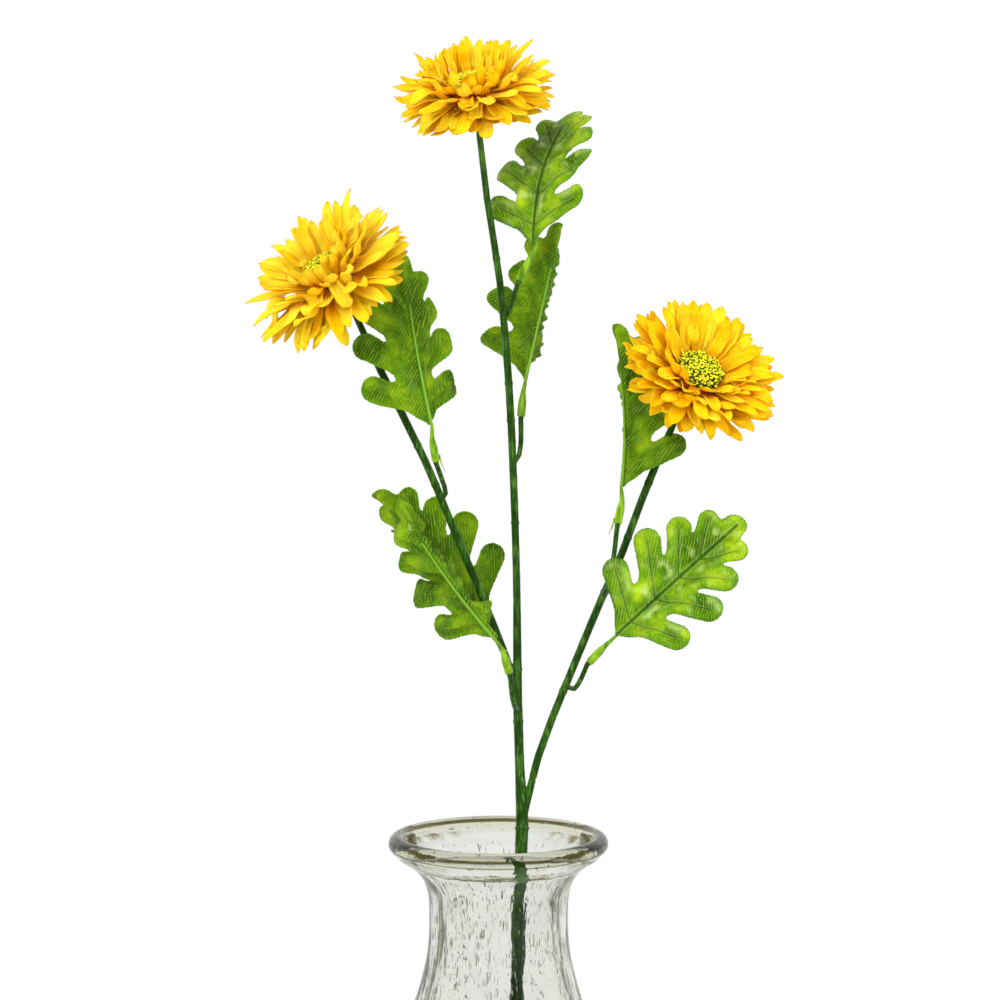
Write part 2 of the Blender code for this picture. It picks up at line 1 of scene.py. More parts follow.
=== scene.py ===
"""Three cloth gerberas on one spray, standing in a seeded glass vase.

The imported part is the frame: every piece here stands for one of its nodes and lies in
that node's place. Sizes in the classes are in mm; the meshes are in metres.
"""

import logging
import math
from collections.abc import Callable, Iterator, Sequence
from contextlib import contextmanager
from dataclasses import dataclass, field
from enum import Enum

import bpy
import numpy as np
from mathutils import Matrix, Vector


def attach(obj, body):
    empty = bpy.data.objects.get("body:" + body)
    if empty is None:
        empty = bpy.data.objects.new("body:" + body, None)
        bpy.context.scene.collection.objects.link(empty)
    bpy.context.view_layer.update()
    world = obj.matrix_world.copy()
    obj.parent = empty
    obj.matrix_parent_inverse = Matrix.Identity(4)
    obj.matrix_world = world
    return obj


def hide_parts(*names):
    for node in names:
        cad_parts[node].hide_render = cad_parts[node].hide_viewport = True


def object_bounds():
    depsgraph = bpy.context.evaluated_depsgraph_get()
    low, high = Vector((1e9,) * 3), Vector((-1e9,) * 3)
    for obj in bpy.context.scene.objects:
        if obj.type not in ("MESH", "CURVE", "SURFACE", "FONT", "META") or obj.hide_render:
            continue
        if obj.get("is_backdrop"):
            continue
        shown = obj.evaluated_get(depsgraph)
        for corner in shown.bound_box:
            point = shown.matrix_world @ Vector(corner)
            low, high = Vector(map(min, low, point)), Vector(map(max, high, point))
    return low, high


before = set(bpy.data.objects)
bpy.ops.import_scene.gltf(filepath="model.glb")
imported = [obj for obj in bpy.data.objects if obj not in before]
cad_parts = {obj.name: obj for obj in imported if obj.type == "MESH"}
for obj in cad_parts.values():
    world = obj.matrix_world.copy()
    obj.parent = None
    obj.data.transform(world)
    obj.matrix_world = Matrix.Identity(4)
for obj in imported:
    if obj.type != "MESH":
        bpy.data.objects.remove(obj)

LOG = logging.getLogger("gerberas")
MM = 0.001
BODY = "root"
FAR = 1e3
GOLDEN_ANGLE = math.radians(137.508)
EVEN = (1, 1, 1)
Flat = tuple[float, float]
Point = tuple[float, float, float]
Colour = tuple[float, float, float]
Stops = Sequence[tuple[float, Colour]]
Faces = list[tuple[int, ...]]
Piece = bpy.types.Object
Material = bpy.types.Material
Socket = bpy.types.NodeSocket


class Side(Enum):
    """The three flowers of the spray."""

    CENTRE = "centre"
    LEFT = "left"
    RIGHT = "right"


class Space(Enum):
    """Where a pattern is measured: in the room, or on the piece's own cut."""

    OBJECT = "Object"
    CUT = "UV"


# ---------------------------------------------------------------- tools


def bring(name: str, data: bpy.types.ID) -> Piece:
    """Puts a mesh, curve, light or camera in the scene.

    Args:
        name: The object's name.
        data: What it shows.

    Returns:
        The new object.
    """
    piece = bpy.data.objects.new(name, data)
    bpy.context.scene.collection.objects.link(piece)
    return piece


def choose(*pieces: Piece) -> None:
    """Selects these pieces alone and makes the last one active."""
    bpy.ops.object.select_all(action="DESELECT")
    for piece in pieces:
        piece.select_set(True)
    bpy.context.view_layer.objects.active = pieces[-1]


@contextmanager
def editing(piece: Piece) -> Iterator[None]:
    """Opens one piece in edit mode with all of it selected, and closes it afterwards.

    Args:
        piece: The mesh to work on.
    """
    choose(piece)
    bpy.ops.object.mode_set(mode="EDIT")
    bpy.ops.mesh.select_all(action="SELECT")
    try:
        yield
    finally:
        bpy.ops.object.mode_set(mode="OBJECT")


def pick_faces(piece: Piece, chosen: Sequence[bool]) -> None:
    """Selects some faces of the piece that is open in edit mode.

    Args:
        piece: The mesh.
        chosen: For each face, whether it is selected.
    """
    bpy.ops.mesh.select_all(action="DESELECT")
    bpy.ops.object.mode_set(mode="OBJECT")
    piece.data.polygons.foreach_set("select", chosen)
    bpy.ops.object.mode_set(mode="EDIT")
    bpy.ops.mesh.select_mode(type="FACE")


def treat(piece: Piece, kind: str, **settings: object) -> None:
    """Adds a modifier to a piece and applies it.

    Args:
        piece: The mesh to change.
        kind: The modifier's type.
        **settings: The modifier's values.
    """
    modifier = piece.modifiers.new(kind.lower(), kind)
    for name, value in settings.items():
        setattr(modifier, name, value)
    choose(piece)
    bpy.ops.object.modifier_apply(modifier=modifier.name)


def thicken(piece: Piece, cloth: float, finishes: Sequence[Material]) -> None:
    """Gives a bent sheet its thickness, with one finish on its face and one on its back.

    Args:
        piece: The bent sheet.
        cloth: The cloth's thickness in mm.
        finishes: The face's material and the back's.
    """
    for finish in finishes:
        piece.data.materials.append(finish)
    treat(piece, "SOLIDIFY", thickness=cloth * MM, offset=0.0, material_offset=1)


def settle(piece: Piece, node: str, finish: Material | None = None) -> None:
    """Dresses a finished piece and puts it in the place of its node.

    Args:
        piece: The finished mesh, at its place.
        node: The node it stands for.
        finish: Its material, unless it is dressed already.
    """
    if finish:
        piece.data.materials.clear()
        piece.data.materials.append(finish)
    piece.data.polygons.foreach_set("use_smooth", [True] * len(piece.data.polygons))
    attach(piece, BODY)
    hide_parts(node)
    LOG.info("%s: %d faces, stands for %s", piece.name, len(piece.data.polygons), node)


def turned(name: str, profile: Sequence[Flat], sides: int) -> Piece:
    """A closed solid of revolution about +Z, drawn up ring by ring from its foot.

    Args:
        name: The piece's name.
        profile: Radius and height of each ring in mm, none of them on the axis.
        sides: How many points go round.

    Returns:
        The new piece.
    """
    radius, height = profile[0]
    bpy.ops.mesh.primitive_circle_add(
        vertices=sides, radius=radius * MM, fill_type="NGON", location=(0, 0, height * MM)
    )
    piece = bpy.context.active_object
    piece.name = name
    bpy.ops.object.transform_apply(location=True)
    with editing(piece):
        for (low_radius, low), (high_radius, high) in zip(profile, profile[1:]):
            bpy.ops.mesh.extrude_region_move(
                TRANSFORM_OT_translate={"value": (0, 0, (high - low) * MM)}
            )
            widen = high_radius / low_radius
            bpy.ops.transform.resize(value=(widen, widen, 1), center_override=(0, 0, high * MM))
        bpy.ops.mesh.select_all(action="SELECT")
        bpy.ops.mesh.normals_make_consistent(inside=False)
    return piece


def grid(columns: int, rows: int, middle: float = 0.5) -> Piece:
    """A flat grid of one unit each way.

    Args:
        columns: Its faces along X.
        rows: Its faces along Y.
        middle: Where its middle lies on Y.

    Returns:
        The new piece.
    """
    bpy.ops.mesh.primitive_grid_add(
        x_subdivisions=columns, y_subdivisions=rows, size=1.0, location=(0, middle, 0)
    )
    bpy.ops.object.transform_apply(location=True)
    return bpy.context.active_object


def recast(node: str, name: str, grain: float, rounds: int, swell: float) -> Piece:
    """A node's own solid, cast again with its corners run together as moulded plastic has them.

    Args:
        node: The node to copy.
        name: The new piece's name.
        grain: The size of the new faces in mm.
        rounds: How many times the surface is smoothed.
        swell: What the smoothing took off, in mm, put back.

    Returns:
        The new piece.
    """
    piece = bring(name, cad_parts[node].data.copy())
    with editing(piece):
        bpy.ops.mesh.remove_doubles(threshold=0.002 * MM)
    treat(piece, "REMESH", mode="VOXEL", voxel_size=grain * MM)
    treat(piece, "SMOOTH", factor=0.5, iterations=rounds)
    treat(piece, "DISPLACE", strength=swell * MM, mid_level=0.0)
    return piece


def stand_round(
    angle: float, out: np.ndarray, aside: np.ndarray, height: np.ndarray
) -> np.ndarray:
    """Points set out from the Z axis in one direction.

    Args:
        angle: The direction, round Z.
        out: How far out each point is.
        aside: How far it is to the direction's side.
        height: How high it is.

    Returns:
        The points.
    """
    cos, sin = math.cos(angle), math.sin(angle)
    return np.column_stack((out * cos - aside * sin, out * sin + aside * cos, height))


def belt(first: int, sides: int) -> Faces:
    """The faces between one ring of points, from its first number, and the next ring."""
    low = [first + i for i in range(sides)]
    return [(a, a + sides, b + sides, b) for a, b in zip(low, low[1:] + low[:1])]


@dataclass
class Pattern:
    """A shape that is modelled once and then copied."""

    points: np.ndarray
    faces: Faces

    @classmethod
    def taken_from(cls, piece: Piece) -> "Pattern":
        """Keeps a piece's mesh and clears the piece away.

        Args:
            piece: The modelled shape.

        Returns:
            Its points and faces.
        """
        mesh = piece.data
        points = np.empty(len(mesh.vertices) * 3, np.float64)
        mesh.vertices.foreach_get("co", points)
        faces = [tuple(face.vertices) for face in mesh.polygons]
        bpy.data.objects.remove(piece)
        bpy.data.meshes.remove(mesh)
        return cls(points.reshape(-1, 3), faces)


@dataclass
class Batch:
    """Copies of patterns gathered into one mesh, with a cut and values at each point."""

    points: list[np.ndarray] = field(default_factory=list)
    faces: Faces = field(default_factory=list)
    cuts: list[np.ndarray] = field(default_factory=list)
    values: dict[str, list[np.ndarray]] = field(default_factory=dict)
    count: int = 0

    def add(
        self, points: np.ndarray, faces: Faces, cut: np.ndarray | None = None, **values: object
    ) -> None:
        """Adds one copy.

        Args:
            points: Its points in mm.
            faces: Its faces, by point.
            cut: Each point's place on the flat cut, if it has one.
            **values: Each point's named values, or one value for all.
        """
        start = self.count
        self.points.append(points)
        self.faces.extend(tuple(start + i for i in face) for face in faces)
        self.cuts.append(np.zeros((len(points), 2)) if cut is None else cut)
        for name, value in values.items():
            spread = np.broadcast_to(np.asarray(value, float), (len(points),))
            self.values.setdefault(name, []).append(spread)
        self.count += len(points)

    def gather(self, name: str) -> Piece:
        """Makes the piece, in metres.

        Args:
            name: The piece's name.

        Returns:
            The piece.
        """
        mesh = bpy.data.meshes.new(name)
        mesh.from_pydata((np.concatenate(self.points) * MM).tolist(), [], self.faces)
        corners = np.empty(len(mesh.loops), np.int32)
        mesh.loops.foreach_get("vertex_index", corners)
        cut = mesh.uv_layers.new(name="cut")
        cut.data.foreach_set("uv", np.concatenate(self.cuts)[corners].ravel())
        for key, parts in self.values.items():
            attribute = mesh.attributes.new(key, "FLOAT", "POINT")
            attribute.data.foreach_set("value", np.concatenate(parts).astype(np.float32))
        mesh.validate()
        return bring(name, mesh)


def middle_of(node: str) -> Vector:
    """Finds the middle of a node's surface.

    Args:
        node: The node.

    Returns:
        The middle in mm, weighed by area.
    """
    total, area = Vector((0, 0, 0)), 0.0
    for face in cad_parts[node].data.polygons:
        total += face.center * face.area
        area += face.area
    return total / area / MM


# ---------------------------------------------------------------- finishes


class Nodes:
    """Builds the nodes of one material or world."""

    def __init__(self, tree: bpy.types.NodeTree) -> None:
        """Takes the tree to build in."""
        self.tree = tree

    def feed(self, socket: Socket, value: object) -> None:
        """Links an input to another node, or sets its value.

        Args:
            socket: The input.
            value: The other node's output, or the value.
        """
        if isinstance(value, Socket):
            self.tree.links.new(value, socket)
        elif socket.type == "RGBA":
            socket.default_value = (*value, 1.0)
        else:
            socket.default_value = value

    def node(
        self, kind: str, out: str | int, feeds: dict[str | int, object], **settings: object
    ) -> Socket:
        """A new node.

        Args:
            kind: Its type.
            out: The output that is wanted.
            feeds: What goes into its inputs.
            **settings: Its own settings.

        Returns:
            The output.
        """
        node = self.tree.nodes.new("ShaderNode" + kind)
        for key, value in settings.items():
            setattr(node, key, value)
        for key, value in feeds.items():
            self.feed(node.inputs[key], value)
        return node.outputs[out]

    def place(self, space: Space, stretch: Point = EVEN, turn: float = 0.0) -> Socket:
        """A pattern's coordinates.

        Args:
            space: What they are measured in.
            stretch: How many times a unit each axis repeats.
            turn: How far the pattern is turned, in degrees.

        Returns:
            The coordinates.
        """
        place = self.node("TexCoord", space.value, {})
        if turn:
            way = (0, 0, math.radians(turn))
            place = self.node("Mapping", "Vector", {"Vector": place, "Rotation": way})
        return self.node("Mapping", "Vector", {"Vector": place, "Scale": stretch})

    def noise(self, place: Socket, scale: float, detail: float, rough: float = 0.5) -> Socket:
        """Cloudy variation from 0 to 1."""
        feeds = {"Vector": place, "Scale": scale, "Detail": detail, "Roughness": rough}
        return self.node("TexNoise", "Fac", feeds)

    def threads(self, turn: float, scale: float, waver: float) -> Socket:
        """Even lines on the cloth.

        Args:
            turn: How far they are turned, in degrees.
            scale: How close they lie.
            waver: How far they stray.

        Returns:
            The lines, from 0 to 1.
        """
        feeds = {"Vector": self.place(Space.CUT, EVEN, turn), "Scale": scale}
        feeds |= {"Distortion": waver, "Detail": 2.0}
        return self.node("TexWave", "Fac", feeds, wave_type="BANDS", bands_direction="X")

    def value_of(self, name: str) -> Socket:
        """The mesh's own value at each point."""
        return self.node("Attribute", "Fac", {}, attribute_name=name)

    def part_of(self, place: Socket, axis: str) -> Socket:
        """One coordinate of a place."""
        return self.node("SeparateXYZ", axis, {"Vector": place})

    def work(self, operation: str, first: object, second: object) -> Socket:
        """A sum on two values, kept from 0 to 1."""
        return self.node("Math", 0, {0: first, 1: second}, operation=operation, use_clamp=True)

    def times(self, first: object, second: object) -> Socket:
        """One value times another."""
        return self.work("MULTIPLY", first, second)

    def ramp(self, value: Socket, stops: Stops) -> Socket:
        """Colours laid along a value.

        Args:
            value: From 0 to 1.
            stops: Each colour and where it lies.

        Returns:
            The colour.
        """
        laid = self.node("ValToRGB", "Color", {"Fac": value})
        ends = laid.node.color_ramp.elements
        while len(ends) < len(stops):
            ends.new(0.5)
        for end, (at, colour) in zip(ends, stops):
            end.position = at
            end.color = (*colour, 1.0)
        return laid

    def range(
        self, value: Socket, low: float, high: float, to_low: float = 0.0, to_high: float = 1.0
    ) -> Socket:
        """A value stretched from one range to another, and kept in it."""
        feeds = {"Value": value, "From Min": low, "From Max": high}
        return self.node("MapRange", "Result", feeds | {"To Min": to_low, "To Max": to_high})

    def blend(self, share: object, first: object, second: object, way: str = "MIX") -> Socket:
        """Two colours laid over each other, with a share of the second."""
        feeds = {0: share, 6: first, 7: second}
        return self.node("Mix", 2, feeds, data_type="RGBA", blend_type=way)

    def relief(self, height: Socket, depth: float, under: Socket | None = None) -> Socket:
        """A pattern's slope, some mm deep, which can lie on a coarser pattern's."""
        feeds = {"Height": height, "Distance": depth * MM}
        return self.node("Bump", "Normal", feeds | ({"Normal": under} if under else {}))


class Shader(Nodes):
    """Builds one material's nodes round its Principled shader."""

    def __init__(self, name: str, **skin: object) -> None:
        """Starts the material.

        Args:
            name: The finish's name.
            **skin: Values that are the same all over, by socket name with _ for a space.
        """
        self.material = bpy.data.materials.new(name)
        self.material.use_nodes = True
        super().__init__(self.material.node_tree)
        self.dress(**skin)

    def dress(self, **skin: object) -> Material:
        """Sets or links the shader's own sockets.

        Args:
            **skin: What goes into each, by socket name with _ for a space.

        Returns:
            The material.
        """
        sockets = self.tree.nodes["Principled BSDF"].inputs
        for key, value in skin.items():
            self.feed(sockets[key.replace("_", " ")], value)
        return self.material

    def lines(self, stretch: float, scale: float, detail: float) -> Socket:
        """Variation drawn out along Z, from 0 to 1."""
        return self.noise(self.place(Space.OBJECT, (1, 1, stretch)), scale, detail)

    def worn(self, pattern: Socket, low: float, high: float) -> Socket:
        """A roughness that follows a pattern."""
        return self.range(pattern, 0.3, 0.7, low, high)


@dataclass(frozen=True)
class SeededGlass:
    """Hand-blown greenish glass, darker where it is thick; the rolled rim's tint is partly painted
    darkness.
    """

    wall: Colour = (1.0, 1.0, 0.995)
    # The rolled rim's colour: partly the thick glass's own tint, partly painted darkness of what
    # the rim refracts.
    bead: Colour = (0.89, 0.87, 0.74)
    depth_tint: Colour = (0.62, 0.665, 0.46)
    density: float = 30.0
    bead_from: float = 221.0
    bead_to: float = 226.0

    def make(self) -> Material:
        """Builds the finish.

        Returns:
            The material.
        """
        shader = Shader("seeded_glass", Roughness=0.015, IOR=1.5, Transmission_Weight=1.0)
        height = shader.part_of(shader.place(Space.OBJECT), "Z")
        rise = shader.range(height, self.bead_from * MM, self.bead_to * MM)
        feeds = {"Color": self.depth_tint, "Density": self.density}
        tint = shader.node("VolumeAbsorption", "Volume", feeds)
        shader.feed(shader.tree.nodes["Material Output"].inputs["Volume"], tint)
        ripple = shader.relief(shader.lines(0.5, 40, 2), 0.9)
        return shader.dress(
            # Tinted towards the rim colour above bead_from: partly glass colour, partly painted
            # darkness.
            Base_Color=shader.blend(rise, self.wall, self.bead),
            Normal=shader.relief(shader.lines(0.12, 260, 2), 0.10, ripple),
        )


@dataclass(frozen=True)
class MouldedStem:
    """Dark green moulded plastic with a dull shine and drawn lines, lightened in streaks that are
    partly painted highlights.
    """

    deep: Colour = (0.003, 0.018, 0.0006)
    middle: Colour = (0.011, 0.050, 0.0012)
    light: Colour = (0.070, 0.205, 0.006)

    def make(self) -> Material:
        """Builds the finish.

        Returns:
            The material.
        """
        shader = Shader("stem_plastic", Specular_IOR_Level=0.42)
        drawn, patch = shader.lines(0.10, 900, 3), shader.lines(1, 120, 3)
        both = shader.work("ADD", shader.times(drawn, 0.6), shader.times(patch, 0.4))
        # The light stop is partly tone and partly painted highlight streaks along the stem.
        stops = [(0.30, self.deep), (0.50, self.middle), (0.72, self.light)]
        drawn = shader.relief(drawn, 0.16)
        return shader.dress(
            Base_Color=shader.ramp(both, stops),
            Roughness=shader.worn(patch, 0.30, 0.48),
            Normal=shader.relief(shader.lines(1, 1400, 2), 0.05, drawn),
        )


@dataclass(frozen=True)
class MouldedRib:
    """Bright yellow-green soft plastic of the leaf sockets and ribs."""

    deep: Colour = (0.050, 0.140, 0.001)
    light: Colour = (0.205, 0.370, 0.003)
    rib: Colour = (0.120, 0.270, 0.012)

    def make(self) -> Material:
        """Builds the finish.

        Returns:
            The material.
        """
        shader = Shader(
            "rib_plastic",
            Specular_IOR_Level=0.5,
            Subsurface_Weight=0.15,
            Subsurface_Radius=(0.6, 1.0, 0.3),
            Subsurface_Scale=0.8 * MM,
        )
        drawn = shader.lines(0.25, 420, 3)
        socket = shader.ramp(drawn, [(0.32, self.deep), (0.66, self.light)])
        return shader.dress(
            Base_Color=shader.blend(shader.value_of("socket"), self.rib, socket),
            Roughness=shader.worn(drawn, 0.28, 0.42),
            Normal=shader.relief(drawn, 0.10),
        )


@dataclass(frozen=True)
class LeafFace:
    """One side of the starched and pressed leaf cloth."""

    name: str
    deep: Colour
    middle: Colour
    light: Colour
    thread: Colour
    thread_share: float
    # The vein colour: on the upper face painted shade in the pressed vein grooves, on the back a
    # mid green.
    vein: Colour
    vein_share: float
    edge: Colour
    # Painted sheen: a pale colour laid on the crowns of the pressed pillows as satin highlights.
    painted_sheen: Colour
    painted_sheen_share: float
    # How strong the painted highlight beside the vein grooves is.
    ridge_highlight_share: float
    gloss: float
    roughness: Flat
    weft_turn: float = -38.0
    warp_turn: float = 52.0

    def make(self) -> Material:
        """Builds the finish.

        Returns:
            The material.
        """
        shader = Shader(
            self.name,
            Specular_IOR_Level=self.gloss,
            Subsurface_Weight=0.30,
            Subsurface_Radius=(0.5, 1.0, 0.05),
            Subsurface_Scale=0.7 * MM,
        )
        cloud = shader.noise(shader.place(Space.CUT), 5.5, 4, 0.55)
        colour = shader.ramp(cloud, [(0.36, self.deep), (0.50, self.middle), (0.67, self.light)])
        weave = self.weave(shader)
        vein, crown = shader.value_of("vein"), shader.value_of("crown")
        # Painted highlight: thin bright lines beside the vein grooves, in the sheen colour.
        ridge_highlight = shader.times(
            shader.range(vein, 0.01, 0.12), shader.range(vein, 0.12, 0.50, self.ridge_highlight_share, 0.0)
        )
        # Painted sheen highlights: noise patches on the pillows' crowns.
        sheen_patches = shader.noise(shader.place(Space.CUT, EVEN, 20), 13, 2, 0.4)
        painted_sheen = shader.times(shader.range(sheen_patches, 0.50, 0.68), crown)
        for share, over in (
            (shader.times(weave, self.thread_share), self.thread),
            # Painted shade along the vein grooves on the upper face.
            (shader.times(vein, self.vein_share), self.vein),
            (ridge_highlight, self.painted_sheen),
            (shader.times(painted_sheen, self.painted_sheen_share), self.painted_sheen),
            (shader.times(shader.value_of("hem"), 0.40), self.edge),
        ):
            colour = shader.blend(share, colour, over)
        fine, fine_cross = (
            shader.threads(turn, 78, 0.4) for turn in (self.weft_turn, self.warp_turn)
        )
        pucker = shader.relief(shader.noise(shader.place(Space.CUT), 38, 3), 0.35)
        slope = shader.relief(shader.times(fine, fine_cross), 0.10, pucker)
        return shader.dress(
            Base_Color=colour,
            Roughness=shader.worn(cloud, *self.roughness),
            Normal=shader.relief(weave, 0.14, slope),
        )

    def weave(self, shader: Shader) -> Socket:
        """The printed weave: broken lines one way, and the other way where they are broken.

        Args:
            shader: The cloth's shader.

        Returns:
            The weave, from 0 to 1.
        """
        dashes = shader.noise(shader.place(Space.CUT, (62, 17, 1), self.weft_turn), 1.4, 2, 0.6)
        broken = shader.range(dashes, 0.44, 0.56)
        weft = shader.range(shader.threads(self.weft_turn, 22, 0.8), 0.50, 0.92)
        warp = shader.range(shader.threads(self.warp_turn, 30, 1.0), 0.55, 1.0, 0.0, 0.6)
        gaps = shader.work("SUBTRACT", 1.0, broken)
        return shader.work("MAXIMUM", shader.times(weft, broken), shader.times(warp, gaps))


LEAF_UPPER = LeafFace(
    name="leaf_cloth_upper",
    deep=(0.016, 0.090, 0.0),
    middle=(0.076, 0.210, 0.0),
    light=(0.290, 0.430, 0.001),
    thread=(0.480, 0.620, 0.030),
    thread_share=0.36,
    # Painted shade in the vein grooves.
    vein=(0.004, 0.040, 0.001),
    vein_share=0.85,
    edge=(0.040, 0.160, 0.002),
    # Painted sheen on the upper face's pillows.
    painted_sheen=(0.640, 0.780, 0.280),
    painted_sheen_share=0.42,
    ridge_highlight_share=0.15,
    gloss=0.24,
    roughness=(0.30, 0.44),
)
LEAF_BACK = LeafFace(
    name="leaf_cloth_back",
    deep=(0.012, 0.062, 0.0),
    middle=(0.050, 0.150, 0.0),
    light=(0.190, 0.310, 0.001),
    thread=(0.400, 0.500, 0.040),
    thread_share=0.42,
    vein=(0.045, 0.160, 0.008),
    vein_share=0.25,
    edge=(0.060, 0.190, 0.003),
    painted_sheen=(0.110, 0.230, 0.050),
    painted_sheen_share=0.25,
    ridge_highlight_share=0.0,
    gloss=0.10,
    roughness=(0.50, 0.66),
)


@dataclass(frozen=True)
class PetalFace:
    """One side of the satin petal cloth."""

    name: str
    stops: Stops
    # Painted highlight: the pale colour laid in streaks and by each petal's tint.
    pale: Colour
    tip: Colour
    roughness: float

    def make(self) -> Material:
        """Builds the finish.

        Returns:
            The material.
        """
        shader = Shader(
            self.name,
            Specular_IOR_Level=0.10,
            Subsurface_Weight=0.75,
            Subsurface_Radius=(1.0, 0.50, 0.01),
            Subsurface_Scale=1.6 * MM,
        )
        along = shader.part_of(shader.place(Space.CUT), "Y")
        streak = shader.noise(shader.place(Space.CUT, (26, 2.2, 1)), 1.0, 3, 0.6)
        # Painted highlight streaks: the streak noise plus each petal's tint.
        tint = shader.range(streak, 0.42, 0.72, 0.0, 0.45)
        tint = shader.work("ADD", tint, shader.value_of("tint"))
        colour = shader.blend(shader.times(tint, 0.60), shader.ramp(along, self.stops), self.pale)
        fray = shader.noise(shader.place(Space.CUT, (60, 30, 1)), 1.0, 2)
        tips = shader.times(
            shader.range(along, 0.86, 1.0, 0.0, 0.9), shader.range(fray, 0.35, 0.6)
        )
        rim = shader.work("MAXIMUM", tips, shader.times(shader.value_of("hem"), 0.30))
        pleat = shader.relief(shader.noise(shader.place(Space.CUT, (14, 0.9, 1)), 1.0, 1), 0.75)
        return shader.dress(
            Base_Color=shader.blend(rim, colour, self.tip),
            Roughness=shader.worn(streak, self.roughness, self.roughness + 0.16),
            Normal=shader.relief(shader.threads(0.0, 16, 0.3), 0.05, pleat),
        )


PETAL_UPPER = PetalFace(
    "petal_satin_upper",
    # Deep orange towards the root: partly the cloth's own colour, partly painted shade where the
    # petals overlap.
    stops=[
        (0.0, (0.95, 0.120, 0.0)),
        (0.14, (1.0, 0.250, 0.0)),
        (0.38, (1.0, 0.430, 0.0)),
        (0.85, (1.0, 0.520, 0.0)),
    ],
    pale=(1.0, 0.78, 0.06),
    tip=(0.92, 0.38, 0.001),
    roughness=0.36,
)
PETAL_BACK = PetalFace(
    "petal_satin_back",
    # Deep orange towards the root: partly the cloth's own colour, partly painted shade where the
    # petals overlap.
    stops=[
        (0.0, (0.96, 0.150, 0.0)),
        (0.18, (1.0, 0.270, 0.0)),
        (0.42, (1.0, 0.410, 0.0)),
        (0.90, (1.0, 0.490, 0.0)),
    ],
    pale=(1.0, 0.76, 0.05),
    tip=(0.88, 0.360, 0.001),
    roughness=0.38,
)


@dataclass(frozen=True)
class FloretTip:
    """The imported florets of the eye, green below and yellow at their tips."""

    stops: Stops = (
        (0.0, (0.020, 0.060, 0.001)),
        (0.25, (0.130, 0.230, 0.003)),
        (0.48, (0.450, 0.520, 0.006)),
        (0.85, (0.960, 0.740, 0.010)),
    )

    def make(self) -> Material:
        """Builds the finish.

        Returns:
            The material.
        """
        shader = Shader("floret_plastic", Specular_IOR_Level=0.5)
        spot = shader.lines(1, 700, 2)
        shade = shader.range(spot, 0.3, 0.7, -0.12, 0.12)
        shade = shader.work("ADD", shader.value_of("shade"), shade)
        return shader.dress(
            Base_Color=shader.ramp(shade, self.stops),
            Roughness=shader.worn(spot, 0.36, 0.55),
            Normal=shader.relief(spot, 0.10),
        )


@dataclass(frozen=True)
class CalyxPlastic:
    """The dark green cup under the petals."""

    deep: Colour = (0.008, 0.055, 0.008)
    light: Colour = (0.045, 0.170, 0.020)

    def make(self) -> Material:
        """Builds the finish.

        Returns:
            The material.
        """
        shader = Shader("calyx_plastic", Specular_IOR_Level=0.5)
        drawn = shader.lines(0.5, 500, 3)
        return shader.dress(
            Base_Color=shader.ramp(drawn, [(0.35, self.deep), (0.68, self.light)]),
            Roughness=shader.worn(drawn, 0.38, 0.55),
            Normal=shader.relief(drawn, 0.15),
        )


# ---------------------------------------------------------------- the vase


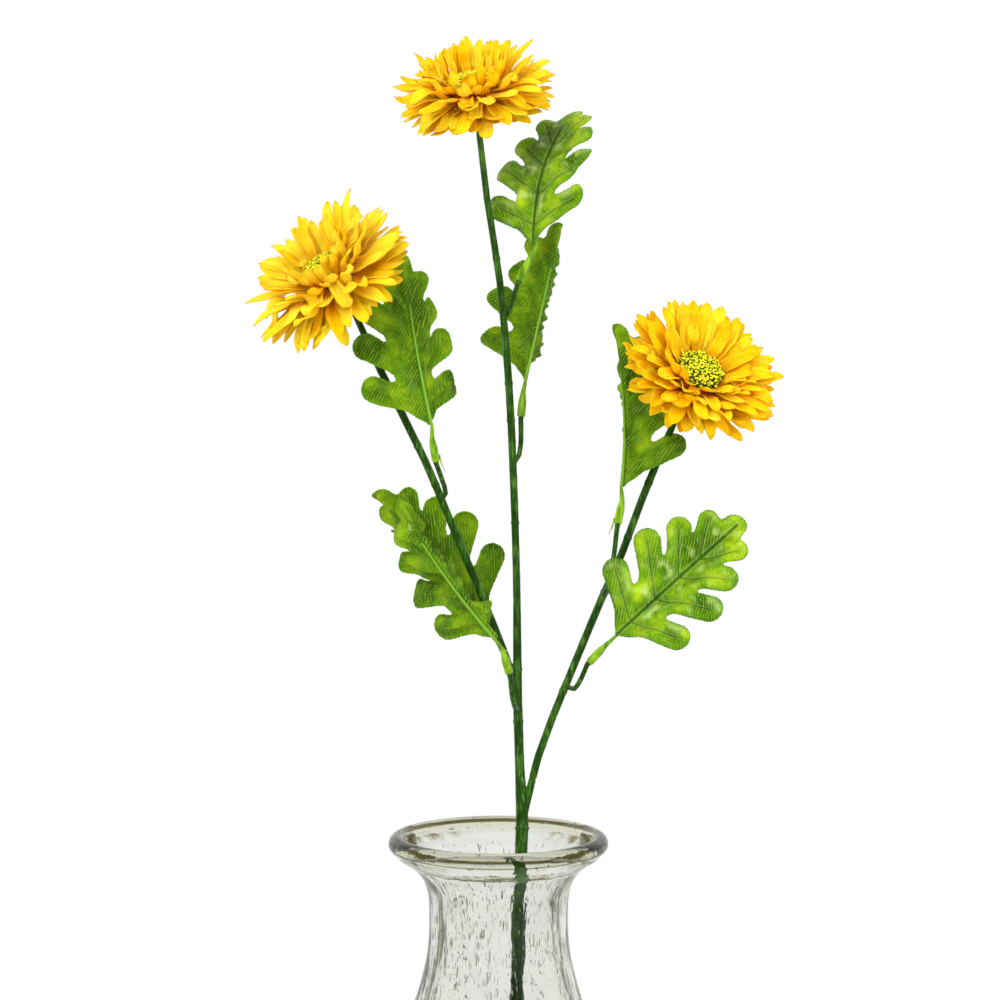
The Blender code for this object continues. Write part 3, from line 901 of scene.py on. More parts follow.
@dataclass
class GlassVase:
    """The blown vase: a rolled rim on a flared neck, a round belly and a thick floor."""

    foot_radius: float = 46.0
    foot_round: float = 5.0
    belly_radius: float = 62.0
    belly_height: float = 70.0
    neck_radius: float = 35.2
    neck_height: float = 185.0
    ring_height: float = 203.0
    ring_depth: float = 0.16
    lip_radius: float = 51.0
    lip_height: float = 218.5
    bead_radius: float = 4.5
    bead_height: float = 225.0
    wall: float = 3.4
    floor: float = 7.0
    sides: int = 128
    steps: int = 60
    kick: float = 0.9
    waver: float = 0.30
    seeds: int = 4200
    seed_thick: float = 0.15
    large_thick: float = 0.28
    large_share: float = 0.10
    thickest: float = 0.48
    longest: float = 3.4
    rim_seeds: int = 320
    rim_thick: float = 0.16

    def outer_radius(self, height: float) -> float:
        """The outside of the glass, from the foot's edge to the lip.

        Args:
            height: The height in mm.

        Returns:
            The radius there.
        """
        if height < self.belly_height:
            share = (height - self.foot_round) / (self.belly_height - self.foot_round)
            swell = math.sin(math.pi / 2 * share)
            return self.foot_radius + (self.belly_radius - self.foot_radius) * swell
        if height < self.neck_height:
            share = (height - self.belly_height) / (self.neck_height - self.belly_height)
            swell = 0.5 + 0.5 * math.cos(math.pi * share)
            return self.neck_radius + (self.belly_radius - self.neck_radius) * swell
        share = (height - self.neck_height) / (self.lip_height - self.neck_height)
        return self.neck_radius + (self.lip_radius - self.neck_radius) * share**4

    @staticmethod
    def bow(middle: Flat, radius: float, angles: Sequence[float]) -> list[Flat]:
        """Points on a round corner of the section, at angles in degrees from outwards."""
        turns = [math.radians(angle) for angle in angles]
        return [(middle[0] + radius * math.cos(t), middle[1] + radius * math.sin(t)) for t in turns]

    def outside(self) -> list[Flat]:
        """The outside's section, with a faint mould ring under the flare.

        Returns:
            Radius and height of each point, from the foot's edge to the lip.
        """
        edge = self.foot_round
        points = self.bow(
            (self.foot_radius - edge, edge), edge, [-90 + 90 * i / 8 for i in range(9)]
        )
        for i in range(1, self.steps + 1):
            height = edge + (self.lip_height - edge) * i / self.steps
            ring = self.ring_depth * math.exp(-(((height - self.ring_height) / 1.2) ** 2))
            points.append((self.outer_radius(height) + ring, height))
        return points

    def profile(self) -> list[Flat]:
        """The whole section of the glass.

        Returns:
            Radius and height of each point, from the foot's middle round to the floor's middle.
        """
        outside = self.outside()
        bead = self.bow((self.lip_radius, self.bead_height), self.bead_radius, range(-56, 185, 15))
        inside = []
        for before, here, after in zip(outside, outside[1:], outside[2:]):
            way = Vector((after[0] - before[0], after[1] - before[1])).normalized()
            point = (here[0] - way.y * self.wall, here[1] + way.x * self.wall)
            if point[1] > self.floor + self.foot_round:
                inside.append(point)
        inside.reverse()
        edge, floor, middle = inside[-1][0], self.floor, 6.0
        rounded = [(edge - 1.2, floor + 2.6), (edge - 3.2, floor + 0.8), (edge - 6.5, floor)]
        foot = self.foot_radius
        hollow = [(middle, self.kick), (foot - 11.0, self.kick), (foot - 7.0, 0.2)]
        return [*hollow, *outside, *bead, *inside, *rounded, (middle, floor)]

    def blow(self) -> Piece:
        """Turns the glass and gives it the slight waver of hand work.

        Returns:
            The glass without its bubbles.
        """
        vase = turned("glass_vase", self.profile(), self.sides)
        steady = 12 * MM
        for vertex in vase.data.vertices:
            radius = math.hypot(vertex.co.x, vertex.co.y)
            if vertex.co.z < steady or radius < steady:
                continue
            angle = math.atan2(vertex.co.y, vertex.co.x)
            height = vertex.co.z / MM
            shift = math.sin(2 * angle + height / 41)
            shift += 0.6 * math.sin(3 * angle - height / 27 + 1.3)
            grow = 1 + self.waver * MM * shift / 1.6 / radius
            vertex.co.x *= grow
            vertex.co.y *= grow
        return vase

    def seed(self) -> Pattern:
        """Models one bubble.

        Returns:
            A small ball whose faces look inwards.
        """
        bpy.ops.mesh.primitive_uv_sphere_add(
            segments=5, ring_count=4, radius=1.0, location=(0, 0, 0)
        )
        bubble = bpy.context.active_object
        with editing(bubble):
            bpy.ops.mesh.flip_normals()
        return Pattern.taken_from(bubble)

    def scatter(self) -> Batch:
        """Scatters the bubbles: long ones in the wall, and rounder ones in the rim.

        Returns:
            All the bubbles.
        """
        rng = np.random.default_rng(7)
        pattern = self.seed()
        batch = Batch()

        def place(angle: float, radius: float, height: float, *axes: Vector) -> None:
            """Sets one bubble in the glass.

            Args:
                angle: Where it is round Z.
                radius: How far out it is.
                height: How high it is.
                *axes: How it is drawn out along each of its axes.
            """
            turn = Matrix.Rotation(angle, 3, "Z")
            shape = np.array([turn @ axis for axis in axes])
            middle = np.array(turn @ Vector((radius, 0, height)))
            batch.add(pattern.points @ shape + middle, pattern.faces)

        for _ in range(self.seeds):
            height = rng.uniform(9.0, 216.0)
            angle = rng.uniform(0, 2 * math.pi)
            radius = self.outer_radius(height) - self.wall * rng.uniform(0.25, 0.75)
            slope = self.outer_radius(height + 0.5) - self.outer_radius(height - 0.5)
            up = Vector((slope, 0, 1)).normalized()
            out = Vector((up.z, 0, -up.x))
            size = self.large_thick if rng.random() < self.large_share else self.seed_thick
            thick = min(size * math.exp(rng.normal(0, 0.35)), self.thickest)
            long = min(thick * rng.uniform(4.0, 11.0), self.longest)
            place(angle, radius, height, out * thick * 0.8, Vector((0, thick, 0)), up * long)
        for _ in range(self.rim_seeds):
            angle = rng.uniform(0, 2 * math.pi)
            way = rng.uniform(0, 2 * math.pi)
            depth = self.bead_radius * rng.uniform(0.2, 0.82)
            radius = self.lip_radius + depth * math.cos(way)
            height = self.bead_height + depth * math.sin(way)
            thick = self.rim_thick * math.exp(rng.normal(0, 0.4))
            long = thick * rng.uniform(1.0, 4.0)
            place(angle, radius, height, *Matrix.Diagonal((thick, long, thick)))
        return batch

    def make(self, finish: Material) -> None:
        """Builds the vase with its seeds and puts it in place.

        Args:
            finish: The glass.
        """
        vase = self.blow()
        choose(self.scatter().gather("seeds"), vase)
        bpy.ops.object.join()
        settle(vase, "vase", finish)


# ---------------------------------------------------------------- stems


@dataclass
class Stems:
    """The three moulded stems."""

    grain: float = 0.40
    rounds: int = 9
    swell: float = 0.10

    def make(self, finish: Material) -> None:
        """Casts each stem again from its node.

        Args:
            finish: The stems' plastic.
        """
        for place in ("main", "left", "right"):
            node = f"stem_{place}"
            stem = recast(node, f"{place}_stem", self.grain, self.rounds, self.swell)
            settle(stem, node, finish)


# ---------------------------------------------------------------- leaves


def direction(lean: Flat) -> Vector:
    """Turns a lean into a direction.

    Args:
        lean: Degrees to the side and back from straight up.

    Returns:
        The unit vector.
    """
    side, back = (math.radians(angle) for angle in lean)
    return Vector(
        (math.sin(side) * math.cos(back), math.sin(back), math.cos(side) * math.cos(back))
    )


@dataclass(frozen=True)
class LeafPose:
    """How one leaf stands, measured as in the part's source."""

    mouth: Point
    socket: Flat
    midrib: Flat
    turn: float
    bend: float
    fold_left: float
    fold_right: float
    whisker: bool = False
    crumple: float = 1.0


LEAF_POSES = {
    "left_upper": LeafPose((-42.7, -13.0, 218.2), (-9, -21), (-13, 12), -144, -12, 19, 27, True),
    "left_lower": LeafPose((-8.2, 22.0, 117.5), (-26, 7), (-41, 4), 172, -10, 19, 66, crumple=1.5),
    "main": LeafPose((-5.6, -10.5, 110.0), (-15, -12), (-42, 2), 145, 20, 122, 8, crumple=2.3),
    "centre_upper": LeafPose((-0.4, 5.5, 309.6), (25, -4), (-2, 4), -37, -60, 0, 4),
    "centre_lower": LeafPose((0.6, 19.5, 239.8), (5, 3), (13, 17), -168, 0, 74, 41, crumple=1.6),
    "right_upper": LeafPose((49.5, -8.0, 186.0), (11, 10), (8, 26), 125, -25, 49, 45, True, 1.3),
    "right_lower": LeafPose((35.1, -11.5, 115.7), (42, -14), (47, 0), -15, -8, 14, 18),
}


@dataclass
class LeafDie:
    """The shape that every leaf is cut to: round lobes on a tapering web.

    The web is a row of rounds, each with its place along the leaf and its radius. A lobe has
    its root's place, its end's place along and across, and its radius at the root and end.
    """

    length: float = 92.0
    half_width: float = 30.5
    margin: float = 3.0
    pitch: float = 0.68
    soften: float = 3.2
    web: tuple[Flat, ...] = (
        *((3.5, 1.0), (13, 7.5), (24, 11.5), (38, 12.8)),
        *((54, 11.8), (67, 9.0), (77, 7.6), (84, 6.6)),
    )
    lobes: tuple[tuple[float, float, float, float, float], ...] = (
        (13.0, 24.9, 24.0, 5.6, 6.5),
        (30.0, 46.4, 24.2, 5.6, 6.7),
        (46.0, 62.4, 18.2, 5.2, 6.3),
        (60.0, 76.4, 11.4, 4.6, 5.4),
    )

    @staticmethod
    def capsule(points: np.ndarray, start: Flat, end: Flat, radii: Flat = (0.0, 0.0)) -> np.ndarray:
        """How far each flat point is outside a tapered round bar.

        Args:
            points: The flat points.
            start: One end of the bar's middle.
            end: The other end.
            radii: The bar's radius at each end.

        Returns:
            The distances, below zero inside.
        """
        a, b = np.array(start), np.array(end)
        run = b - a
        share = np.clip(((points - a) @ run) / (run @ run), 0, 1)
        nearest = a + share[:, None] * run
        radius = radii[0] + (radii[1] - radii[0]) * share
        return np.linalg.norm(points - nearest, axis=1) - radius

    def veins(self) -> list[tuple[Flat, Flat, float]]:
        """The pressed veins of half a leaf, with how strong each is."""
        side = [((root, 0.0), (end, out), 0.6) for root, end, out, _, _ in self.lobes]
        return [((0.0, 0.0), (86.0, 0.0), 1.0), *side]

    def outside(self, points: np.ndarray) -> np.ndarray:
        """How far each flat point is outside the leaf.

        Args:
            points: The flat points.

        Returns:
            The distances, below zero inside.
        """
        flat = np.column_stack((points[:, 0], np.abs(points[:, 1])))
        bars = [((a, 0.0), (b, 0.0), (r, s)) for (a, r), (b, s) in zip(self.web, self.web[1:])]
        bars += [((root, 0.0), (end, out), radii) for root, end, out, *radii in self.lobes]
        found = np.full(len(flat), FAR)
        for start, end, radii in bars:
            bar = self.capsule(flat, start, end, radii)
            near = np.clip(0.5 + 0.5 * (bar - found) / self.soften, 0, 1)
            found = bar * (1 - near) + found * near - self.soften * near * (1 - near)
        return found

    def cut(self) -> Pattern:
        """Trims a fine grid to the outline.

        Returns:
            The flat leaf.
        """
        across, along = 2 * (self.half_width + self.margin), self.length + 4
        piece = grid(round(along / self.pitch), round(across / self.pitch), 0.0)
        for vertex in piece.data.vertices:
            vertex.co.x = (vertex.co.x + 0.5) * along
            vertex.co.y *= across
        middles = np.array([tuple(face.center)[:2] for face in piece.data.polygons])
        away = self.outside(middles) > 0.2 * self.pitch
        with editing(piece):
            pick_faces(piece, away)
            bpy.ops.mesh.delete(type="FACE")
            bpy.ops.mesh.select_mode(type="VERT")
            bpy.ops.mesh.select_all(action="SELECT")
            bpy.ops.mesh.flip_normals()
        pattern = Pattern.taken_from(piece)
        self.snap(pattern)
        return pattern

    def snap(self, pattern: Pattern) -> None:
        """Draws the trimmed edge's points onto the outline.

        Args:
            pattern: The trimmed grid.
        """
        seen: dict[tuple[int, int], int] = {}
        for face in pattern.faces:
            for pair in zip(face, face[1:] + face[:1]):
                key = (min(pair), max(pair))
                seen[key] = seen.get(key, 0) + 1
        edge = np.array(sorted({i for key, count in seen.items() if count == 1 for i in key}))
        step = 0.05
        for _ in range(3):
            flat = pattern.points[edge, :2]
            slope = np.column_stack(
                [
                    (self.outside(flat + offset) - self.outside(flat - offset)) / (2 * step)
                    for offset in np.eye(2) * step
                ]
            )
            length = np.maximum((slope**2).sum(axis=1), 0.2)
            pattern.points[edge, :2] = flat - slope * (self.outside(flat) / length)[:, None]

    @staticmethod
    def area(pattern: Pattern) -> float:
        """Adds up the faces of a flat cut.

        Args:
            pattern: The cut.

        Returns:
            Its area in square metres.
        """
        total = 0.0
        for face in pattern.faces:
            x, y = pattern.points[list(face), :2].T
            total += abs(np.dot(x, np.roll(y, -1)) - np.dot(y, np.roll(x, -1))) / 2
        return total * MM * MM


class LeafFrame:
    """Turns flat leaf points into the posed leaf."""

    def __init__(self, pose: LeafPose, start: Vector, length: float, soft: float) -> None:
        """Sets the leaf's axes.

        Args:
            pose: How the leaf stands.
            start: Where the blade starts, in mm.
            length: The leaf's length.
            soft: How far from the midrib the fold is rounded.
        """
        self.soft = soft
        along = direction(pose.midrib)
        front = Vector((0, -1, 0))
        front = (front - along * front.dot(along)).normalized()
        turn = math.radians(pose.turn)
        up = front * math.cos(turn) + along.cross(front) * math.sin(turn)
        self.start, self.along, self.up = np.array(start), np.array(along), np.array(up)
        self.side = np.array(along.cross(up))
        self.rate = math.radians(pose.bend) / length
        self.folds = (math.radians(pose.fold_left), math.radians(pose.fold_right))

    def place(self, flat: np.ndarray, lift: np.ndarray) -> np.ndarray:
        """The posed points.

        Args:
            flat: Each point's place along and across the flat leaf, in mm.
            lift: How far it stands off the cloth's middle towards the upper face.

        Returns:
            The points in mm.
        """
        along, across = flat[:, 0], flat[:, 1]
        angle = self.rate * along
        if self.rate:
            forward, upward = np.sin(angle) / self.rate, (1 - np.cos(angle)) / self.rate
        else:
            forward, upward = along, np.zeros_like(along)
        middle = self.start + np.outer(forward, self.along) + np.outer(upward, self.up)
        up_here = np.outer(np.cos(angle), self.up) - np.outer(np.sin(angle), self.along)
        reach, half = np.abs(across), np.where(across > 0, 1.0, -1.0)
        fold = np.where(across > 0, self.folds[1], self.folds[0]) + 1e-6
        bent = fold * np.clip(reach / self.soft, 0, 1)
        beyond = np.maximum(reach - self.soft, 0)
        out = self.soft / fold * np.sin(bent) + beyond * np.cos(fold)
        rise = self.soft / fold * (1 - np.cos(bent)) + beyond * np.sin(fold)
        normal = up_here * np.cos(bent)[:, None] - np.outer(np.sin(bent) * half, self.side)
        spread = middle + np.outer(out * half, self.side)
        return spread + up_here * rise[:, None] + normal * lift[:, None]


@dataclass
class Leaves:
    """The seven cloth leaves on their moulded ribs.

    A groove is given by its width and depth, a whisker by its sway and drop.
    """

    rest: Vector
    die: LeafDie = field(default_factory=LeafDie)
    blade_length: float = 88.0
    socket_length: float = 17.0
    cloth: float = 0.42
    fold_round: float = 2.4
    groove: Flat = (1.1, 0.65)
    side_groove: Flat = (0.8, 1.3)
    pillow: float = 2.6
    pillow_run: float = 4.0
    wave: float = 1.3
    fray: float = 0.12
    rib_grain: float = 0.22
    rib_rounds: int = 8
    rib_swell: float = 0.06
    whisker_radius: float = 0.26
    whiskers: tuple[Flat, ...] = ((3.2, 9.0), (1.2, 6.5))
    cut_unit: float = 100.0

    def relief(
        self, flat: np.ndarray, away: np.ndarray, rng: np.random.Generator, wave: float
    ) -> tuple[np.ndarray, np.ndarray, np.ndarray]:
        """How far the pressed cloth stands up at each point, and what part of the pattern it is.

        Args:
            flat: The flat points.
            away: How far each is outside the outline.
            rng: This leaf's chance.
            wave: How far the cloth waves, in mm.

        Returns:
            The lift in mm, the nearness to a vein, and the nearness to a pillow's crown.
        """
        half = np.column_stack((flat[:, 0], np.abs(flat[:, 1])))
        near, dent = np.zeros(len(flat)), np.zeros(len(flat))
        closest = np.full(len(flat), FAR)
        for start, end, strength in self.die.veins():
            distance = self.die.capsule(half, start, end)
            width, depth = self.side_groove if end[1] else self.groove
            near = np.maximum(near, strength * np.exp(-((distance / (width * 0.8)) ** 2)))
            dent = np.maximum(dent, depth * np.exp(-((distance / width) ** 2)))
            closest = np.minimum(closest, distance)
        lift = -dent * np.clip(0.35 + half[:, 1] / 3.0, 0.6, 1.0)
        inner = np.clip(-away / 2.5, 0, 1)
        lift += self.pillow * (1 - np.exp(-((closest / self.pillow_run) ** 2))) * inner
        calm = np.clip(half[:, 1] / 8.0, 0.0, 1.0)
        for _ in range(4):
            turn, long, phase = rng.uniform(0, math.pi), rng.uniform(16, 34), rng.uniform(0, 6.28)
            run = flat[:, 0] * math.cos(turn) + flat[:, 1] * math.sin(turn)
            lift += wave / 2 * np.sin(run * 2 * math.pi / long + phase) * calm
        # The crown is where the painted sheen is laid.
        crown = np.clip((closest - 1.2) / 3.0, 0, 1) * np.clip(-away / 3.5, 0, 1)
        return lift, near, crown

    def blade(self, place: str, pose: LeafPose, pattern: Pattern, *finishes: Material) -> None:
        """One leaf's cloth, pressed, bent and folded.

        Args:
            place: Which leaf.
            pose: How it stands.
            pattern: The flat cut.
            *finishes: The upper face and the back.
        """
        rng = np.random.default_rng(sum(place.encode()))
        flat = pattern.points[:, :2].copy()
        away = self.die.outside(flat)
        lift, near, crown = self.relief(flat, away, rng, self.wave * pose.crumple)
        edge = away > -0.05
        flat[edge] += rng.normal(0, self.fray, (int(edge.sum()), 2))
        start = self.rest + Vector(pose.mouth) + direction(pose.socket) * self.socket_length
        posed = LeafFrame(pose, start, self.die.length, self.fold_round).place(flat, lift)
        cut = np.column_stack((flat[:, 1] / self.cut_unit + 0.5, flat[:, 0] / self.cut_unit))
        batch = Batch()
        # vein and crown mark where the painted vein shade and painted sheen go.
        batch.add(posed, pattern.faces, cut, vein=near, crown=crown, hem=np.exp(away / 0.8))
        leaf = batch.gather(f"{place}_leaf")
        thicken(leaf, self.cloth, finishes)
        settle(leaf, f"leaf_{place}")
        self.die.area(pattern)

    def flash(self, mouth: Vector, way: int, sway: float, drop: float) -> Piece:
        """One thin whisker of plastic that hangs at a socket's mouth.

        Args:
            mouth: The socket's mouth in mm.
            way: The side it hangs on, 1 or -1.
            sway: How far it leans out.
            drop: How far it falls.

        Returns:
            The whisker.
        """
        line = bpy.data.curves.new("flash", "CURVE")
        line.dimensions = "3D"
        line.bevel_depth = self.whisker_radius * MM
        line.bevel_resolution = 1
        line.use_fill_caps = True
        spline = line.splines.new("POLY")
        spline.points.add(7)
        for i, point in enumerate(spline.points):
            share = i / 7
            hang = (way * (1.9 + sway * share**1.5), -0.6 * share, 3.0 - drop * share)
            point.co = (*((mouth + Vector(hang)) * MM), 1.0)
            point.radius = 1.5 - 1.1 * share
        flash = bring("flash", line)
        choose(flash)
        bpy.ops.object.convert(target="MESH")
        return flash

    def rib(self, place: str, pose: LeafPose, finish: Material) -> None:
        """The rib and socket, with the thin flash that two of the sockets kept.

        Args:
            place: Which leaf.
            pose: How it stands.
            finish: The rib's plastic.
        """
        node = f"rib_{place}"
        rib = recast(node, f"{place}_rib", self.rib_grain, self.rib_rounds, self.rib_swell)
        mouth = self.rest + Vector(pose.mouth)
        if pose.whisker:
            way = 1 if place.startswith("left") else -1
            for sway, drop in self.whiskers:
                choose(self.flash(mouth, way, sway, drop), rib)
                bpy.ops.object.join()
        away = np.array([(vertex.co / MM - mouth).length for vertex in rib.data.vertices])
        share = np.clip((self.socket_length + 9 - away) / 12, 0, 1)
        socket = rib.data.attributes.new("socket", "FLOAT", "POINT")
        socket.data.foreach_set("value", share.astype(np.float32))
        settle(rib, node, finish)

    def make(self, upper: Material, back: Material, rib: Material) -> None:
        """Builds every leaf and its rib.

        Args:
            upper: The cloth's upper face.
            back: The cloth's back.
            rib: The rib's plastic.
        """
        pattern = self.die.cut()
        for place, pose in LEAF_POSES.items():
            self.rib(place, pose, rib)
            self.blade(place, pose, pattern, upper, back)


# ---------------------------------------------------------------- flower heads


@dataclass(frozen=True)
class PetalLayer:
    """One die-cut layer of petals."""

    petals: int
    hub_radius: float
    tip_radius: float
    width: float
    turn: float


LAYERS = (
    PetalLayer(16, 12.0, 38.5, 7.6, 0.0),
    PetalLayer(16, 13.6, 42.5, 7.8, 0.5),
    PetalLayer(14, 13.6, 43.5, 8.0, 0.2),
    PetalLayer(14, 13.4, 43.5, 7.8, 0.6),
    PetalLayer(12, 13.2, 35.0, 7.0, 0.1),
)


@dataclass(frozen=True)
class Habit:
    """How one flower holds its petals.

    The rises are each layer's slope from the head's own plane, in degrees.
    """

    rises: tuple[float, ...]
    reach: float
    closing: float
    # How much painted highlight the flower's petals get.
    highlight_paleness: float


HABITS = {
    Side.CENTRE: Habit((-15, -5, 10, 32, 64), reach=1.02, closing=0.6, highlight_paleness=0.34),
    Side.LEFT: Habit((-19, -6, 12, 36, 66), reach=1.14, closing=0.60, highlight_paleness=0.62),
    Side.RIGHT: Habit((0, 12, 24, 36, 47), reach=1.04, closing=0.0, highlight_paleness=0.05),
}


@dataclass
class GerberaHead:
    """One flower: a calyx, five layers of petals and an eye of florets.

    The pairs are the least and the most that chance gives a petal, but for the curl, which
    has its mean and its stray. Angles are in degrees.
    """

    side: Side
    calyx_height: float = 11.4
    fit: float = 0.35
    cloth: float = 0.4
    petal_cloth: float = 0.26
    pitch: float = 1.6
    disc_radius: float = 12.5
    disc_height: float = 6.5
    spike_hole: float = 2.2
    spike_above: float = 3.4
    root_inside: float = 1.6
    closing_from: int = 3
    lengths: Flat = (0.87, 1.02)
    widths: Flat = (0.86, 1.08)
    bellies: Flat = (0.55, 0.68)
    rise_stray: float = 4.2
    curl: Flat = (2.0, 12.0)
    cups: Flat = (0.10, 0.50)
    pleats: Flat = (0.18, 0.42)
    creases: Flat = (0.2, 0.5)
    twist_stray: float = 14.0
    most_twist: float = 16.0
    sway_stray: float = 4.0
    highlight_stray: float = 0.28
    florets: int = 230
    floret_stand: float = 1.9
    dome_inside: float = 0.8
    dome_sides: int = 32
    dome_rings: int = 8
    crowd: float = 2.0
    bracts: int = 13
    bract_rows: Flat = (1.0, 0.72)
    bract_long: float = 9.5
    bract_width: float = 3.4
    bract_slope: float = 50.0

    def __post_init__(self) -> None:
        """Finds the head's place and axis from its calyx and eye."""
        calyx, disc = (middle_of(f"{part}_{self.side.value}") for part in ("calyx", "disc"))
        self.axis = (disc - calyx).normalized()
        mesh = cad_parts[f"calyx_{self.side.value}"].data
        low = min(vertex.co.dot(self.axis) for vertex in mesh.vertices) / MM
        mouth = calyx + self.axis * (low - calyx.dot(self.axis))
        turn = self.axis.to_track_quat("Z", "Y").to_matrix().to_4x4()
        self.stand = Matrix.Translation(mouth) @ turn
        self.rng = np.random.default_rng(11 + len(self.side.value) * 5)
        self.eye_foot = self.layer_height(len(LAYERS) - 1) + self.cloth + self.fit

    def put(self, points: np.ndarray) -> np.ndarray:
        """Points on the head, moved to where the head is."""
        return points @ np.array(self.stand.to_3x3()).T + np.array(self.stand.translation)

    def layer_height(self, index: int) -> float:
        """The height of a layer's hub above the calyx's mouth."""
        return self.calyx_height + self.fit + self.cloth + self.pitch * index

    def bend_petal(
        self, flat: np.ndarray, layer: PetalLayer, index: int, angle: float
    ) -> tuple[np.ndarray, float]:
        """One petal, given its outline, pleats, curl and twist.

        Args:
            flat: The petal pattern's points.
            layer: The layer it belongs to.
            index: The layer's place from the lowest.
            angle: Where it stands round the hub.

        Returns:
            Its points on the head in mm, and its tint: its share of painted highlight.
        """
        rng, habit = self.rng, HABITS[self.side]
        outward = self.stand.to_3x3() @ Vector((math.cos(angle), math.sin(angle), 0.0))
        above = outward.z / max(math.hypot(self.axis.x, self.axis.y), 0.2)
        below = 0.5 - 0.5 * above
        inner = index >= self.closing_from
        tight = habit.closing if inner else 0.0
        across, along = flat[:, 0] * 2, flat[:, 1]
        torn = rng.normal(0, 0.035) * across + rng.normal(0, 0.03) * np.cos(across * 5)
        along = along * (1 + torn * along**3)
        length = layer.tip_radius - layer.hub_radius + self.root_inside
        length *= habit.reach
        length *= rng.uniform(*self.lengths)
        if inner:
            length *= rng.uniform(0.85, 1.0) * (1 - 0.22 * below)
        width = layer.width * rng.uniform(*self.widths) * (1 - 0.28 * tight)
        half = self.half_width(across, along, layer, width)
        side = across * half
        rise = math.radians(habit.rises[index] + 6 * above + rng.normal(0, self.rise_stray))
        curl = math.radians(rng.normal(*self.curl))
        if inner:
            curl += math.radians(8 + 26 * tight * below * (index - 2))
        crumple = math.radians(rng.normal(0, 11 + 9 * below + 18 * tight))
        beat, phase = rng.uniform(6, 12), rng.uniform(0, 6)

        def lean(share: np.ndarray) -> np.ndarray:
            """The petal's slope at each share of its length."""
            return rise + curl * (share - 0.42) + crumple * np.sin(share * beat + phase)

        bend = lean(along)
        run = self.integrate(along, lambda share: np.cos(lean(share))) * length
        up = self.integrate(along, lambda share: np.sin(lean(share))) * length
        cup = rng.uniform(*self.cups) * (1 if rng.random() < 0.75 else -0.7)
        pleats = rng.uniform(*self.pleats)
        pleats = pleats * np.cos(across * 2.6 * math.pi + rng.uniform(-0.8, 0.8))
        crease = rng.uniform(*self.creases) * np.exp(-((across / 0.18) ** 2))
        fade = np.clip(along * 3, 0, 1) * np.clip((1.05 - along) * 3, 0, 1)
        off = cup * half * across**2 + (pleats - crease) * fade
        twist = float(np.clip(rng.normal(0, self.twist_stray), -self.most_twist, self.most_twist))
        twist = math.radians(twist) * along
        aside = side * np.cos(twist) - off * np.sin(twist)
        off = side * np.sin(twist) + off * np.cos(twist)
        sway = math.tan(math.radians(rng.normal(0, self.sway_stray))) * length * along**2
        out = layer.hub_radius - self.root_inside + run - off * np.sin(bend)
        height = self.layer_height(index) + up + off * np.cos(bend)
        points = stand_round(angle, out, aside + sway, height)
        return points, float(np.clip(rng.normal(habit.highlight_paleness, self.highlight_stray), 0, 1))

    def half_width(
        self, across: np.ndarray, along: np.ndarray, layer: PetalLayer, width: float
    ) -> np.ndarray:
        """How far the petal's edge is from its middle, at each point.

        Args:
            across: The points' places from edge to edge, -1 to 1.
            along: Their places from the root to the tip.
            layer: The layer it belongs to.
            width: The petal's width in mm.

        Returns:
            The half widths in mm.
        """
        rng = self.rng
        root = layer.hub_radius * math.sin(math.pi / layer.petals / self.crowd) * 0.9 / (width / 2)
        belly = rng.uniform(*self.bellies)
        beyond = np.clip((along - belly) / (1 - belly), 0, 1)
        swell = np.where(
            along < belly,
            root + (1 - root) * np.sin(np.pi / 2 * np.clip(along / belly, 0, 1)),
            (1 - beyond ** rng.uniform(2.1, 4.0)) ** rng.uniform(0.55, 0.85),
        )
        wavy = 1 + 0.07 * np.sin(along * rng.uniform(9, 15) + np.sign(across) * rng.uniform(0, 6))
        return width / 2 * np.maximum(swell, 0.10) * wavy

    @staticmethod
    def integrate(along: np.ndarray, slope: Callable[[np.ndarray], np.ndarray]) -> np.ndarray:
        """Adds up a slope along the petal.

        Args:
            along: The places to add it up to, from 0 to 1.
            slope: The slope at each share of the length.

        Returns:
            The total from 0 to each place.
        """
        steps = np.linspace(0, 1, 41)
        heights = slope(steps)
        parts = np.cumsum((heights[1:] + heights[:-1]) / 2 * (steps[1] - steps[0]))
        return np.interp(along, steps, np.concatenate(([0], parts)))

    def hub(self, layer: PetalLayer, index: int) -> tuple[np.ndarray, Faces]:
        """The flat ring that joins a layer's petals round the spike.

        Args:
            layer: The layer.
            index: Its place from the lowest.

        Returns:
            Its points on the head in mm, and its faces.
        """
        sides = layer.petals * 3
        angles = np.arange(sides) * 2 * math.pi / sides
        height = np.full(sides, self.layer_height(index))
        rings = (self.spike_hole, layer.hub_radius * 0.6, layer.hub_radius - 1.2)
        points = [np.column_stack((r * np.cos(angles), r * np.sin(angles), height)) for r in rings]
        return np.concatenate(points), belt(0, sides) + belt(sides, sides)

    def petals(self, finishes: Sequence[Material]) -> None:
        """Every layer of petals.

        Args:
            finishes: The upper face and the back.
        """
        flower = self.side.value
        pattern = Pattern.taken_from(grid(8, 18))
        cut = np.column_stack((pattern.points[:, 0] + 0.5, pattern.points[:, 1]))
        hem = np.exp(-(1 - np.abs(pattern.points[:, 0] * 2)) / 0.12)
        for index, layer in enumerate(LAYERS):
            batch = Batch()
            points, faces = self.hub(layer, index)
            batch.add(self.put(points), faces, tint=0.0, hem=0.0)
            count = round(layer.petals * self.crowd)
            for i in range(count):
                angle = 2 * math.pi / count * (i + layer.turn + self.rng.normal(0, 0.12))
                points, tint = self.bend_petal(pattern.points, layer, index, angle)
                shift = np.array([self.rng.uniform(0, 8), 0.0])
                batch.add(self.put(points), pattern.faces, cut + shift, tint=tint, hem=hem)
            piece = batch.gather(f"{flower}_petals_{index + 1}")
            thicken(piece, self.petal_cloth, finishes)
            settle(piece, f"petals_{flower}_{index + 1}")
            area = math.pi * (layer.hub_radius**2 - self.spike_hole**2)
            area += count * (layer.tip_radius - layer.hub_radius) * layer.width * 0.66

